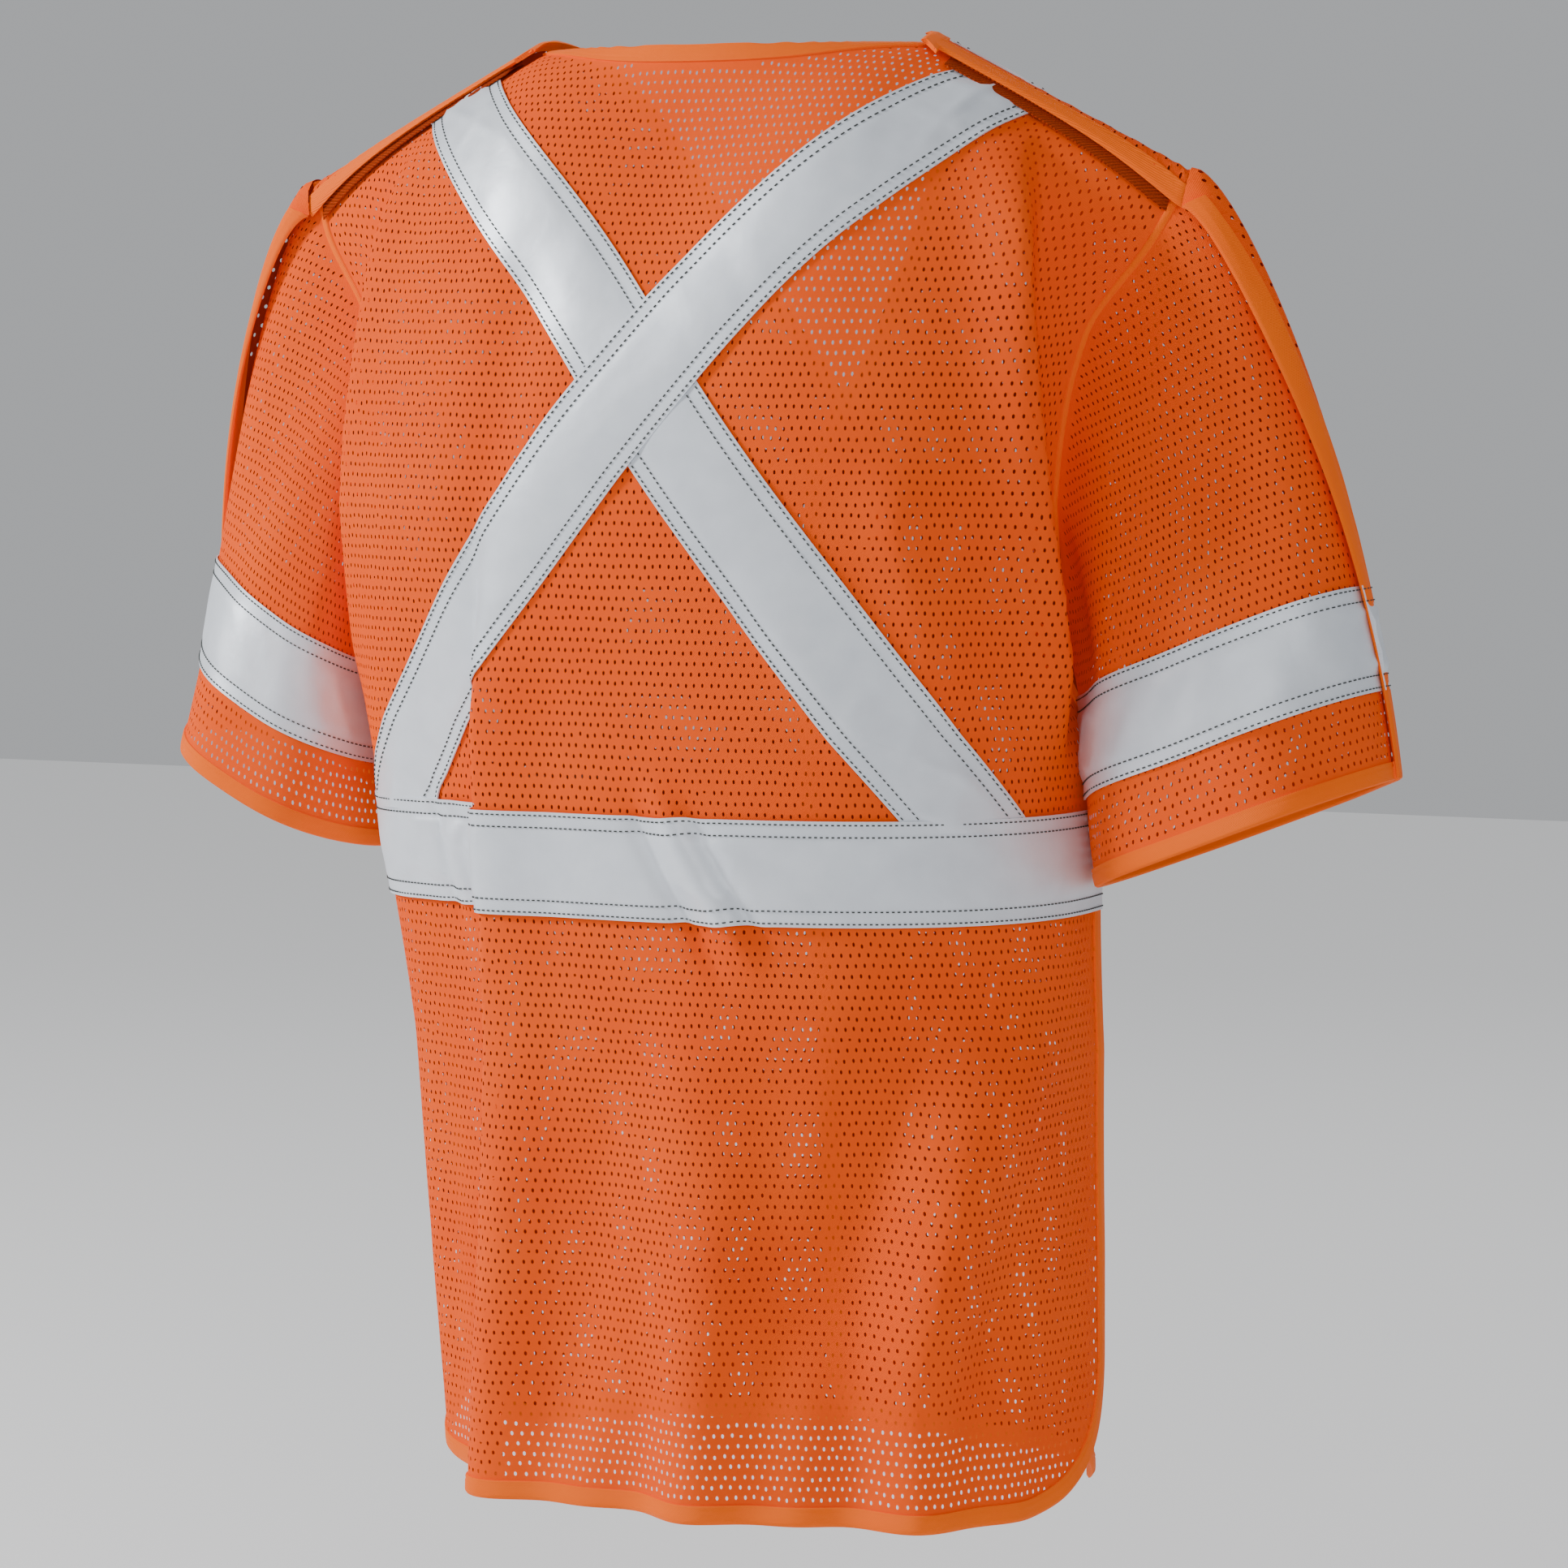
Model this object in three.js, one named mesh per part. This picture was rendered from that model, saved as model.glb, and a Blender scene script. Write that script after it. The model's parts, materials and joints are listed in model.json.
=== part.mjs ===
// High visibility vest with short sleeves and a five-point breakaway.
//
// Millimetres. +Z is up, -Y is the wearer's front and +X the wearer's left. The origin is on the
// centre line at the high point of the shoulders, which is where the vest hangs from.
//
// Every cloth piece is cut flat and then laid on the form of a standing wearer. A flat place is
// (across, height): across is measured along the cloth from the centre back or centre front, and
// height is measured along the cloth from the level of the shoulders, with the hem at HEM.
import * as THREE from 'three';

// ---- Driving dimensions -------------------------------------------------------------------
const HEM = -712; // hem, below the high point of the shoulders
const NECK_HALF = 103; // centre line to the neck end of the shoulder
const TIP_HALF = 236; // centre line to the sleeve end of the shoulder
const SHOULDER_DROP = 68; // fall of the shoulder from neck to tip
const RIDGE_Y = 12; // how far behind the centre the top of the shoulder lies
const NECK_BACK_Y = 62; // depth of the back neck edge at the centre
const NECK_FRONT_Y = -52; // depth that the front would have at the neck, above the V
const BREAK = -225; // level of the shoulder blades, above which the cloth leans in
const UNDERARM = -292; // bottom of the armhole
const V_BOTTOM = -205; // bottom of the V neck
const V_BOW = 12; // how far the V neck bows towards the shoulder
const HALF_WIDTH = [172, 206]; // half the width of the body, at the hem and at BREAK
const WIDTH_POWER = 2.2; // how late the width opens out between them
const BACK_DEPTH = [120, 134]; // depth behind the centre, at the hem and at BREAK
const FRONT_DEPTH = [116, 122]; // depth in front of it
const ROUNDNESS = 2.35; // power of the superellipse that rings the body
const HEM_CORNER = 74; // radius of the hem's rounded corners
const CENTRE_CORNER = 36; // and of those at the centre front
const ARMHOLE_SCOOP = 30; // how far the armhole cuts in from a straight line
const TOP_SPREAD = 0.94; // lateral reach of the top edge for each millimetre of cloth across

const CLOTH = 1; // thickness of the mesh cloth as a solid
const TAPE = 0.6; // thickness of the reflective tape
const STRIP = 1.2; // thickness of a hook or loop strip
const BINDING = 2.2; // thickness of the folded edge binding
const TAPE_WIDTH = 50.8; // reflective tape
const BINDING_WIDTH = 9; // seen width of the edge binding
const STRIP_WIDTH = 20; // hook and loop strips
const GAP = 0.9; // clearance between layers
const BUTT = 0.8; // clearance between pieces that meet edge to edge

const BAND_TOP = -370; // top of the waist band
const CROSS = -162; // height where the two back straps cross
const STRAP_REACH = 166; // how far out each back strap's middle is at the waist band
const FRONT_STRAP_CLEAR = 7; // neck edge to the inner edge of the straight strap on each front
const SLEEVE_TAPE_LOW = 43; // sleeve hem to the sleeve tape's lower edge
const HEM_OUT = [128, -352]; // outermost point of the sleeve hem: out from the body, and height
const HEM_IN = [2, -404]; // innermost point of the sleeve hem
const UNDERARM_SHARE = 0.012; // clearance of each half at the underarm, as a share of its arc
const SEAM_GAP = 1.3; // clearance between a sleeve and the armhole
const HEM_HALF_DEPTH = 68; // half the depth of the sleeve hem
const SIDE_PAST = 14; // how far each back side edge passes the widest line of the body
const SIDE_LAP = 30; // how far each front tucks in behind the back at the side
const SIDE_STEP = 5.8; // how much further in the fronts lie there, so that they tuck behind
const SIDE_OPEN = 26; // underarm to where the side laps begin
const SIDE_CLEAR = 5.5; // clearance between the side edges above that
const SIDE_FLARE = 60; // height over which they reach their full width
const LAP_HALF = 20; // how far each front passes the centre line
const LAP_STEP = 6; // how far the left front stands off where it covers the right
const LAP_EASE = 70; // distance over which the left front rises to that
const FOLD_TOP = 52; // the fold that a front opens along: distance out at the V neck
const FOLD_HEM = 96; // and at the hem
const FOLD_GAP = 0.5; // clearance on each side of that fold
const SHOULDER_LAP = 24; // how far the fronts reach back over the top of the shoulders
const SHOULDER_STEP = 5.34; // front's lap over the back's shoulder edge, square to the cloth
const CLOSURE = [120, 20]; // length and width of the front closure's hook and loop
const CLOSURE_RISE = 8; // waist band to its lower end
const BAND_PAST = 5; // how far the front's waist band runs on behind the back's side edge
const TAB = [58, 24, 2]; // microphone tab: height, width and thickness
const TAB_HEIGHT = -188; // height of its middle, between the strap and the armhole
const STRIP_CLEAR = 6; // ends of the shoulder's strips, in from the neck and the tip

// ---- Colours ------------------------------------------------------------------------------
const finish = (color, roughness, metalness = 0) => ({ color, roughness, metalness });
const ORANGE_MESH = finish(0xf26a1e, 0.85);
const ORANGE_BINDING = finish(0xf57a20, 0.7);
const SILVER_TAPE = finish(0xd8dde2, 0.35, 0.3);
const ORANGE_HOOK = finish(0xd9561c, 0.95);

// ---- The form that the cloth lies on ------------------------------------------------------
const clamp01 = (t) => Math.min(1, Math.max(0, t));
const mix = (a, b, t) => a + (b - a) * t;

function ease(t) {
  const c = clamp01(t);
  return c * c * (3 - 2 * c);
}

/** A size between its values at the hem and at BREAK. */
function sizeAt([low, high], height, power = 1) {
  return mix(low, high, clamp01((height - HEM) / (BREAK - HEM)) ** power);
}

/** Half of a superellipse of width 1 and the given depth, by the length of its arc. */
function arcTable(depth) {
  const steps = 400;
  const table = [[0, 0, depth]];
  for (let k = 1; k <= steps; k += 1) {
    const angle = (Math.PI * k) / steps;
    const c = Math.cos(angle);
    const x = Math.sin(angle) ** (2 / ROUNDNESS);
    const y = depth * Math.sign(c) * Math.abs(c) ** (2 / ROUNDNESS);
    const [length, x0, y0] = table[k - 1];
    table.push([length + Math.hypot(x - x0, y - y0), x, y]);
  }
  return table;
}

/** The row of a table of [length, ...] at a length, with the rows between made by mixing. */
function lookUp(table, length) {
  let low = 0;
  let high = table.length - 1;
  while (high - low > 1) {
    const middle = (low + high) >> 1;
    if (table[middle][0] <= length) low = middle;
    else high = middle;
  }
  const t = (length - table[low][0]) / (table[high][0] - table[low][0]);
  return table[low].map((value, k) => mix(value, table[high][k], t));
}

/** Half the garment's width at a height. The fronts narrow below the underarm, to tuck in. */
function halfWidth(height, front) {
  const tuck = front ? SIDE_STEP * ease((UNDERARM - height) / SIDE_OPEN) : 0;
  return sizeAt(HALF_WIDTH, height, WIDTH_POWER) - tuck;
}

const ringTables = new Map();

/** The point of the body's ring at a height, a length of cloth across from its middle. */
function ring(across, width, depth) {
  const shape = (depth / width).toFixed(3);
  if (!ringTables.has(shape)) ringTables.set(shape, arcTable(Number(shape)));
  const [, x, y] = lookUp(ringTables.get(shape), Math.abs(across) / width);
  return [x * width * Math.sign(across), y * width];
}

/** How much cloth lies between the middle of a ring and the widest line of the body. */
function quarterRing(width, depth) {
  const table = arcTable(depth / width);
  return width * table[Math.round(table.length / 2)][0];
}

/** Depth and height of the garment's top edge, at a distance from the centre line. */
function topEdge(x, neckY) {
  const out = Math.abs(x);
  if (out > NECK_HALF) {
    return [RIDGE_Y, (-(out - NECK_HALF) * SHOULDER_DROP) / (TIP_HALF - NECK_HALF)];
  }
  return [RIDGE_Y + (neckY - RIDGE_Y) * (1 - (out / NECK_HALF) ** 2.2), 0];
}

/** The column of cloth above BREAK at one distance across, as rows of [length, x, y, z]. */
function makeColumn(across, front) {
  const [x1, ring1] = ring(across, HALF_WIDTH[1], (front ? FRONT_DEPTH : BACK_DEPTH)[1]);
  const y1 = front ? -ring1 : ring1;
  const xTop = Math.sign(across) * Math.min(Math.abs(across) * TOP_SPREAD, TIP_HALF);
  const [yTop, zEdge] = topEdge(xTop, front ? NECK_FRONT_Y : NECK_BACK_Y);
  const slope = Math.hypot(SHOULDER_DROP, TIP_HALF - NECK_HALF) / (TIP_HALF - NECK_HALF);
  const zTop = zEdge + (front ? SHOULDER_STEP * slope : 0);
  const rise = zTop - BREAK;
  const lean = y1 - yTop;
  const overTop = ease(Math.abs(xTop) / NECK_HALF);
  const curve = new THREE.CubicBezierCurve3(
    new THREE.Vector3(x1, y1, BREAK),
    new THREE.Vector3(mix(x1, xTop, 0.4), y1, BREAK + 0.5 * rise),
    new THREE.Vector3(
      xTop,
      yTop + lean * mix(0.25, 0.55, overTop),
      zTop - rise * mix(0.3, 0.02, overTop),
    ),
    new THREE.Vector3(xTop, yTop, zTop),
  );
  const rows = [];
  let length = 0;
  let last = curve.getPoint(0);
  for (let k = 0; k <= 40; k += 1) {
    const point = curve.getPoint(k / 40);
    length += point.distanceTo(last);
    rows.push([length, point.x, point.y, point.z]);
    last = point;
  }
  return rows;
}

const columns = new Map();

function column(across, front) {
  const key = `${front} ${across.toFixed(4)}`;
  if (!columns.has(key)) columns.set(key, makeColumn(across, front));
  return columns.get(key);
}

/** Height, measured along the cloth, of the top edge at a distance across. */
function topHeight(across, front) {
  return BREAK + column(across, front).at(-1)[0];
}

/** Where a flat place of the back or front lies. The fronts run on over the shoulder's top. */
function torso(across, height, front) {
  if (height <= BREAK) {
    const width = halfWidth(height, front);
    const [x, y] = ring(across, width, sizeAt(front ? FRONT_DEPTH : BACK_DEPTH, height));
    return new THREE.Vector3(x, front ? -y : y, height);
  }
  const rows = column(across, front);
  const past = height - BREAK - rows.at(-1)[0];
  const [, x, y, z] = past > 0 ? rows.at(-1) : lookUp(rows, height - BREAK);
  return new THREE.Vector3(x, y + Math.max(0, past) * (front ? 1 : -1), z);
}

const onBack = (across, height) => torso(across, height, false);

/** The right front lies on the form, and the left one stands off it where it laps over. */
function onFront(side) {
  return (across, height) => {
    const point = torso(side * across, height, true);
    if (side > 0) point.y -= LAP_STEP * ease((LAP_EASE - across) / LAP_EASE);
    return point;
  };
}

// ---- Outlines of the flat pieces ----------------------------------------------------------
function sideBack(height) {
  return quarterRing(halfWidth(height, false), sizeAt(BACK_DEPTH, height)) + SIDE_PAST;
}

function sideFront(height) {
  return quarterRing(halfWidth(height, true), sizeAt(FRONT_DEPTH, height)) - SIDE_PAST;
}

/** How far a front runs on behind the back's side edge, from nothing at the underarm. */
function sideLap(height) {
  return mix(-SIDE_CLEAR, SIDE_LAP, ease((UNDERARM - SIDE_OPEN - height) / SIDE_FLARE));
}

/** How far an edge moves in where the hem's corner rounds it off. */
function cornerCut(height, inset) {
  const radius = HEM_CORNER - inset;
  const below = HEM + HEM_CORNER - height;
  return below > 0 ? radius - Math.sqrt(Math.max(0, radius ** 2 - below ** 2)) : 0;
}

const TIP_ACROSS = TIP_HALF / TOP_SPREAD;
const NECK_ACROSS = NECK_HALF / TOP_SPREAD;

/** Edge of the armhole: t runs from 0 at the underarm to 1 at the tip of the shoulder. */
function armhole(t, front) {
  const low = front ? sideFront(UNDERARM) + sideLap(UNDERARM) : sideBack(UNDERARM);
  const across = mix(low, TIP_ACROSS, t) - ARMHOLE_SCOOP * Math.sin(Math.PI * t);
  return [across, mix(UNDERARM, topHeight(TIP_ACROSS, front), t)];
}

/** Distance across where the shoulder edge is at a height. */
function shoulderAcross(height, front) {
  let near = NECK_ACROSS;
  let far = TIP_ACROSS;
  for (let k = 0; k < 30; k += 1) {
    const middle = (near + far) / 2;
    if (topHeight(middle, front) > height) near = middle;
    else far = middle;
  }
  return near;
}

/** Outer edge of the back or front at a height, less an inset for the binding. */
function outerEdge(height, front, inset) {
  const tipHeight = topHeight(TIP_ACROSS, front);
  if (height >= tipHeight) return shoulderAcross(height, front);
  if (height >= UNDERARM) {
    return armhole((height - UNDERARM) / (tipHeight - UNDERARM), front)[0];
  }
  const side = front ? sideFront(height) + sideLap(height) : sideBack(height);
  return side - inset - cornerCut(height, inset);
}

/** Edge of the V neck at a height, from the centre line out to the neck end of the shoulder. */
function vNeck(height) {
  const t = clamp01((height - V_BOTTOM) / (topHeight(NECK_ACROSS, true) - V_BOTTOM));
  return mix(-LAP_HALF, NECK_ACROSS, t) + V_BOW * Math.sin(Math.PI * t);
}

/** Height where a rising function of height passes zero. */
function heightWhere(rising, low, high) {
  let under = low;
  let over = high;
  for (let k = 0; k < 40; k += 1) {
    const middle = (under + over) / 2;
    if (rising(middle) > 0) over = middle;
    else under = middle;
  }
  return under;
}

/** The straight fold that a front opens along, from the hem up to the V neck. */
const FOLD_TOP_HEIGHT = heightWhere((h) => vNeck(h) - FOLD_TOP, V_BOTTOM, 0);
const fold = (height) => mix(FOLD_HEM, FOLD_TOP, (height - HEM) / (FOLD_TOP_HEIGHT - HEM));

/** Inner edge of a front at a height, less an inset for the binding. */
function innerEdge(height, inset) {
  const edge = height > V_BOTTOM ? vNeck(height) : -LAP_HALF;
  const below = HEM + CENTRE_CORNER - height;
  const radius = CENTRE_CORNER - inset;
  const round = below > 0 ? radius - Math.sqrt(Math.max(0, radius ** 2 - below ** 2)) : 0;
  return edge + inset + round;
}

// ---- Closed shells ------------------------------------------------------------------------
/** A closed solid between two offsets of a grid of [point, normal]. */
function shell(grid, low, high) {
  const rows = grid.length;
  const cols = grid[0].length;
  const positions = [];
  for (const offset of [low, high]) {
    for (const [point, normal] of grid.flat()) {
      positions.push(...point.clone().addScaledVector(normal, offset).toArray());
    }
  }
  const at = (layer, i, j) => layer * rows * cols + i * cols + j;
  const index = [];
  const quad = (a, b, c, d) => index.push(a, b, c, a, c, d);
  for (let i = 0; i + 1 < rows; i += 1) {
    for (let j = 0; j + 1 < cols; j += 1) {
      quad(at(1, i, j), at(1, i, j + 1), at(1, i + 1, j + 1), at(1, i + 1, j));
      quad(at(0, i, j), at(0, i + 1, j), at(0, i + 1, j + 1), at(0, i, j + 1));
    }
  }
  for (let j = 0; j + 1 < cols; j += 1) {
    quad(at(0, 0, j), at(0, 0, j + 1), at(1, 0, j + 1), at(1, 0, j));
    quad(at(0, rows - 1, j + 1), at(0, rows - 1, j), at(1, rows - 1, j), at(1, rows - 1, j + 1));
  }
  for (let i = 0; i + 1 < rows; i += 1) {
    quad(at(0, i + 1, 0), at(0, i, 0), at(1, i, 0), at(1, i + 1, 0));
    quad(at(0, i, cols - 1), at(0, i + 1, cols - 1), at(1, i + 1, cols - 1), at(1, i, cols - 1));
  }
  const geometry = new THREE.BufferGeometry();
  geometry.setAttribute('position', new THREE.Float32BufferAttribute(positions, 3));
  geometry.setIndex(facingOut(positions, index));
  geometry.computeVertexNormals();
  return geometry;
}

/** The triangles, turned over if they enclose a negative volume. */
function facingOut(positions, index) {
  const corner = (k) => new THREE.Vector3().fromArray(positions, 3 * index[k]);
  let volume = 0;
  for (let k = 0; k < index.length; k += 3) {
    volume += corner(k).dot(corner(k + 1).cross(corner(k + 2)));
  }
  return volume < 0 ? index.toReversed() : index;
}

/** A grid of [point, outward normal] on a surface; place turns (u, v) into a flat place. */
function patch(surface, cols, rows, place, outward = 1) {
  const step = 0.5;
  const grid = [];
  for (let i = 0; i <= rows; i += 1) {
    const row = [];
    for (let j = 0; j <= cols; j += 1) {
      const [a, h] = place(j / cols, i / rows);
      const across = surface(a + step, h).sub(surface(a - step, h));
      const up = surface(a, h + step).sub(surface(a, h - step));
      row.push([surface(a, h), across.cross(up).normalize().multiplyScalar(outward)]);
    }
    grid.push(row);
  }
  return grid;
}

const group = new THREE.Group();
const SIDES = [[1, 'left'], [-1, 'right']];

function addPiece(name, geometry, look) {
  const mesh = new THREE.Mesh(geometry, new THREE.MeshStandardMaterial(look));
  mesh.name = name;
  group.add(mesh);
  return mesh;
}

// Layers, outward from the middle of the cloth.
const clothLayer = [-CLOTH / 2, CLOTH / 2];
const onTop = (thickness) => [CLOTH / 2 + GAP, CLOTH / 2 + GAP + thickness];
const underneath = (thickness) => [-CLOTH / 2 - GAP - thickness, -CLOTH / 2 - GAP];
const overTape = [CLOTH / 2 + 2 * GAP + TAPE, CLOTH / 2 + 2 * GAP + 2 * TAPE];
const bindingLayer = [-BINDING / 2, BINDING / 2];

const INSET = BINDING_WIDTH + BUTT; // a panel's edge, in from its binding's outer edge

/**
 * Height of a row of a piece: round its hem corner until the first stop, then evenly from stop to
 * stop. A stop is [row, height].
 */
function rowHeight(row, bottom, corner, stops) {
  const [[first]] = stops;
  if (row < first) return bottom + corner * (1 - Math.cos((Math.PI / 2) * (row / first)));
  let k = 1;
  while (k < stops.length - 1 && row > stops[k][0]) k += 1;
  const [row0, h0] = stops[k - 1];
  const [row1, h1] = stops[k];
  return mix(h0, h1, (row - row0) / (row1 - row0));
}

/** Spreads columns so that they crowd towards the sides, where the body turns. */
const crowdSides = (s) => s * (1.3 - 0.3 * s * s);
const crowdOut = (u) => u * (1.35 - 0.35 * u);

// ---- Back ---------------------------------------------------------------------------------
const backTip = topHeight(TIP_ACROSS, false);
const backNeck = topHeight(NECK_ACROSS, false) - BINDING_WIDTH - BUTT;

const BACK_COLS = 22;
const BACK_ROWS = 23;
const BACK_TIP_ROW = 18; // row that meets the tip of the shoulder
const BACK_SIDE_ROWS = [4, 8]; // rows at the top of the hem's corner and below the underarm

/** Height of a row of the back, up to the tip of the shoulder. */
function backRow(row) {
  const bottom = HEM + INSET;
  const corner = HEM_CORNER - INSET;
  const [cornerRow, armRow] = BACK_SIDE_ROWS;
  const stops = [
    [cornerRow, bottom + corner],
    [armRow, UNDERARM - BUTT],
    [armRow + 1, UNDERARM],
    [BACK_TIP_ROW, backTip],
  ];
  return rowHeight(row, bottom, corner, stops);
}

function backPlace(u, v) {
  const side = crowdSides(2 * u - 1);
  const row = Math.round(v * BACK_ROWS);
  if (row <= BACK_TIP_ROW) {
    const height = backRow(row);
    return [side * outerEdge(height, false, INSET), height];
  }
  const t = (row - BACK_TIP_ROW) / (BACK_ROWS - BACK_TIP_ROW);
  const edge = mix(backTip, backNeck, t);
  const across = side * outerEdge(edge, false, 0);
  const inNeck = Math.min(Math.abs(across), NECK_ACROSS);
  const dip = topHeight(NECK_ACROSS, false) - topHeight(inNeck, false);
  return [across, edge - dip * t * t];
}

const BACK_BINDING_ROWS = 50;
const HEM_END = 0.38; // shares of the way from the middle of the hem to the underarm
const CORNER_END = 0.62;

/** The two side edges and the hem of the back, from one underarm to the other. */
function backBindingPlace(u, v) {
  const side = Math.sign(v - 0.5);
  const from = Math.abs(2 * v - 1);
  const inward = u * BINDING_WIDTH;
  if (from <= HEM_END) {
    return [side * (sideBack(HEM) - HEM_CORNER) * (from / HEM_END), HEM + inward];
  }
  if (from <= CORNER_END) {
    const angle = (Math.PI / 2) * ((from - HEM_END) / (CORNER_END - HEM_END));
    const radius = HEM_CORNER - inward;
    const height = HEM + HEM_CORNER - radius * Math.cos(angle);
    return [side * (sideBack(height) - HEM_CORNER + radius * Math.sin(angle)), height];
  }
  const t = (from - CORNER_END) / (1 - CORNER_END);
  const height = backRow(mix(...BACK_SIDE_ROWS, t)) - BUTT * t;
  return [side * (sideBack(height) - inward), height];
}

/** A back strap: side is 1 for the one whose lower end is on the wearer's left. */
function backStrapPlace(side) {
  const fall = CROSS - BAND_TOP;
  const run = Math.hypot(STRAP_REACH, fall);
  const [out, up] = [-STRAP_REACH / run, fall / run];
  const at = (u, s) => {
    const aside = (u - 0.5) * TAPE_WIDTH;
    return [out * s + up * aside, CROSS + up * s - out * aside];
  };
  const underEdge = ([across, height]) => {
    const inTip = Math.min(Math.abs(across), TIP_ACROSS);
    return topHeight(inTip, false) - STRIP_WIDTH - 2 * BUTT - height;
  };
  return (u, v) => {
    const lower = heightWhere((s) => at(u, s)[1] - BAND_TOP - BUTT, -2 * run, 0);
    const upper = heightWhere((s) => -underEdge(at(u, s)), 0, 2 * run);
    const [across, height] = at(u, mix(lower, upper, v));
    return [side * across, height];
  };
}

/** A strip along the back's shoulder edge, between the neck and the tip. */
const shoulderStripPlace = (side) => (u, v) => {
  const across = mix(NECK_ACROSS + BINDING_WIDTH + STRIP_CLEAR, TIP_ACROSS - STRIP_CLEAR, v);
  return [side * across, topHeight(across, false) - mix(STRIP_WIDTH, BUTT, u)];
};

function makeBack() {
  const add = (name, cols, rows, place, layer, look) => addPiece(
    name,
    shell(patch(onBack, cols, rows, place, -1), ...layer),
    look,
  );
  add('back_panel', BACK_COLS, BACK_ROWS, backPlace, clothLayer, ORANGE_MESH);
  const neck = (u, v) => {
    const across = mix(-NECK_ACROSS, NECK_ACROSS, v);
    return [across, topHeight(across, false) - BINDING_WIDTH * (1 - u)];
  };
  add('neck_binding', 1, 12, neck, bindingLayer, ORANGE_BINDING);
  add('back_edge_binding', 1, BACK_BINDING_ROWS, backBindingPlace, bindingLayer, ORANGE_BINDING);
  add('back_strap_under', 3, 30, backStrapPlace(-1), onTop(TAPE), SILVER_TAPE);
  add('back_strap_over', 3, 30, backStrapPlace(1), overTape, SILVER_TAPE);
  const band = (u, v) => {
    const height = BAND_TOP - TAPE_WIDTH * (1 - u);
    return [mix(-1, 1, v) * (sideBack(height) - INSET), height];
  };
  add('back_waist_band', 1, 36, band, onTop(TAPE), SILVER_TAPE);
  for (const [side, name] of SIDES) {
    add(`${name}_shoulder_loop`, 3, 8, shoulderStripPlace(side), onTop(STRIP), ORANGE_HOOK);
    const sideLoop = (u, v) => {
      const height = BAND_TOP - TAPE_WIDTH * v;
      const inward = mix(STRIP_WIDTH, 2 * BUTT, u);
      return [side * (sideBack(height) - BINDING_WIDTH - inward), height];
    };
    add(`${name}_side_loop`, 2, 1, sideLoop, underneath(STRIP), ORANGE_HOOK);
  }
}

// ---- Fronts -------------------------------------------------------------------------------
const FLAP_POINT = 8; // width of a flap's cloth at the top of its fold
const frontTip = topHeight(TIP_ACROSS, true);
const frontNeck = topHeight(NECK_ACROSS, true);
const flapTop = heightWhere((h) => innerEdge(h, INSET) + FLAP_POINT - fold(h), V_BOTTOM, 0);

/** Edge of the V neck, which runs straight back across the top of the shoulder. */
const neckEdge = (height) => innerEdge(Math.min(height, frontNeck), 0);

const FRONT_COLS = 9;
const FRONT_ROWS = 28;
const FRONT_TIP_ROW = 21; // row that meets the tip of the shoulder
const FRONT_ARM_ROW = 11; // row just below the underarm
const FRONT_LOW_ROWS = [4, 7]; // rows at the top of the hem's corner and where the side narrows
const FLAP_COLS = 4;
const FLAP_ROWS = 15;
const FLAP_STOPS = [3, 6, 9]; // rows at the top of its corner, the underarm and the V neck

/** Height of a row of a front, up to the tip of the shoulder. */
function frontRow(row) {
  const bottom = HEM + INSET;
  const corner = HEM_CORNER - INSET;
  const [cornerRow, flareRow] = FRONT_LOW_ROWS;
  const stops = [
    [cornerRow, bottom + corner],
    [flareRow, UNDERARM - SIDE_OPEN - SIDE_FLARE],
    [FRONT_ARM_ROW, UNDERARM - BUTT],
    [FRONT_ARM_ROW + 1, UNDERARM],
    [FRONT_TIP_ROW, frontTip],
  ];
  return rowHeight(row, bottom, corner, stops);
}

/** Height of a row of a flap. */
function flapRow(row) {
  const bottom = HEM + INSET;
  const corner = CENTRE_CORNER - INSET;
  const [cornerRow, armRow, neckRow] = FLAP_STOPS;
  const stops = [
    [cornerRow, bottom + corner],
    [armRow, UNDERARM],
    [neckRow, V_BOTTOM],
    [FLAP_ROWS, flapTop],
  ];
  return rowHeight(row, bottom, corner, stops);
}

/** The outboard part of a front, from its fold and V neck to the side, armhole and shoulder. */
function frontPlace(u, v) {
  const row = Math.round(v * FRONT_ROWS);
  const outward = crowdOut(u);
  if (row <= FRONT_TIP_ROW) {
    const height = frontRow(row);
    const inner = Math.max(innerEdge(height, INSET), fold(height) + FOLD_GAP);
    return [mix(inner, outerEdge(height, true, INSET), outward), height];
  }
  const end = mix(NECK_ACROSS + INSET, TIP_ACROSS, outward);
  const top = topHeight(end, true) + SHOULDER_LAP - INSET;
  const height = mix(frontTip, top, (row - FRONT_TIP_ROW) / (FRONT_ROWS - FRONT_TIP_ROW));
  return [mix(neckEdge(height) + INSET, TIP_ACROSS, outward), height];
}

/** The inboard part of a front, from the fold to the centre edge. */
function flapPlace(u, v) {
  const height = flapRow(Math.round(v * FLAP_ROWS));
  return [mix(innerEdge(height, INSET), fold(height) - FOLD_GAP, u), height];
}

const [SIDE_ROWS, CORNER_ROWS, HEM_ROWS] = [7, 6, 4]; // rows of the side binding
const SIDE_BINDING_ROWS = SIDE_ROWS + CORNER_ROWS + HEM_ROWS;

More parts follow.
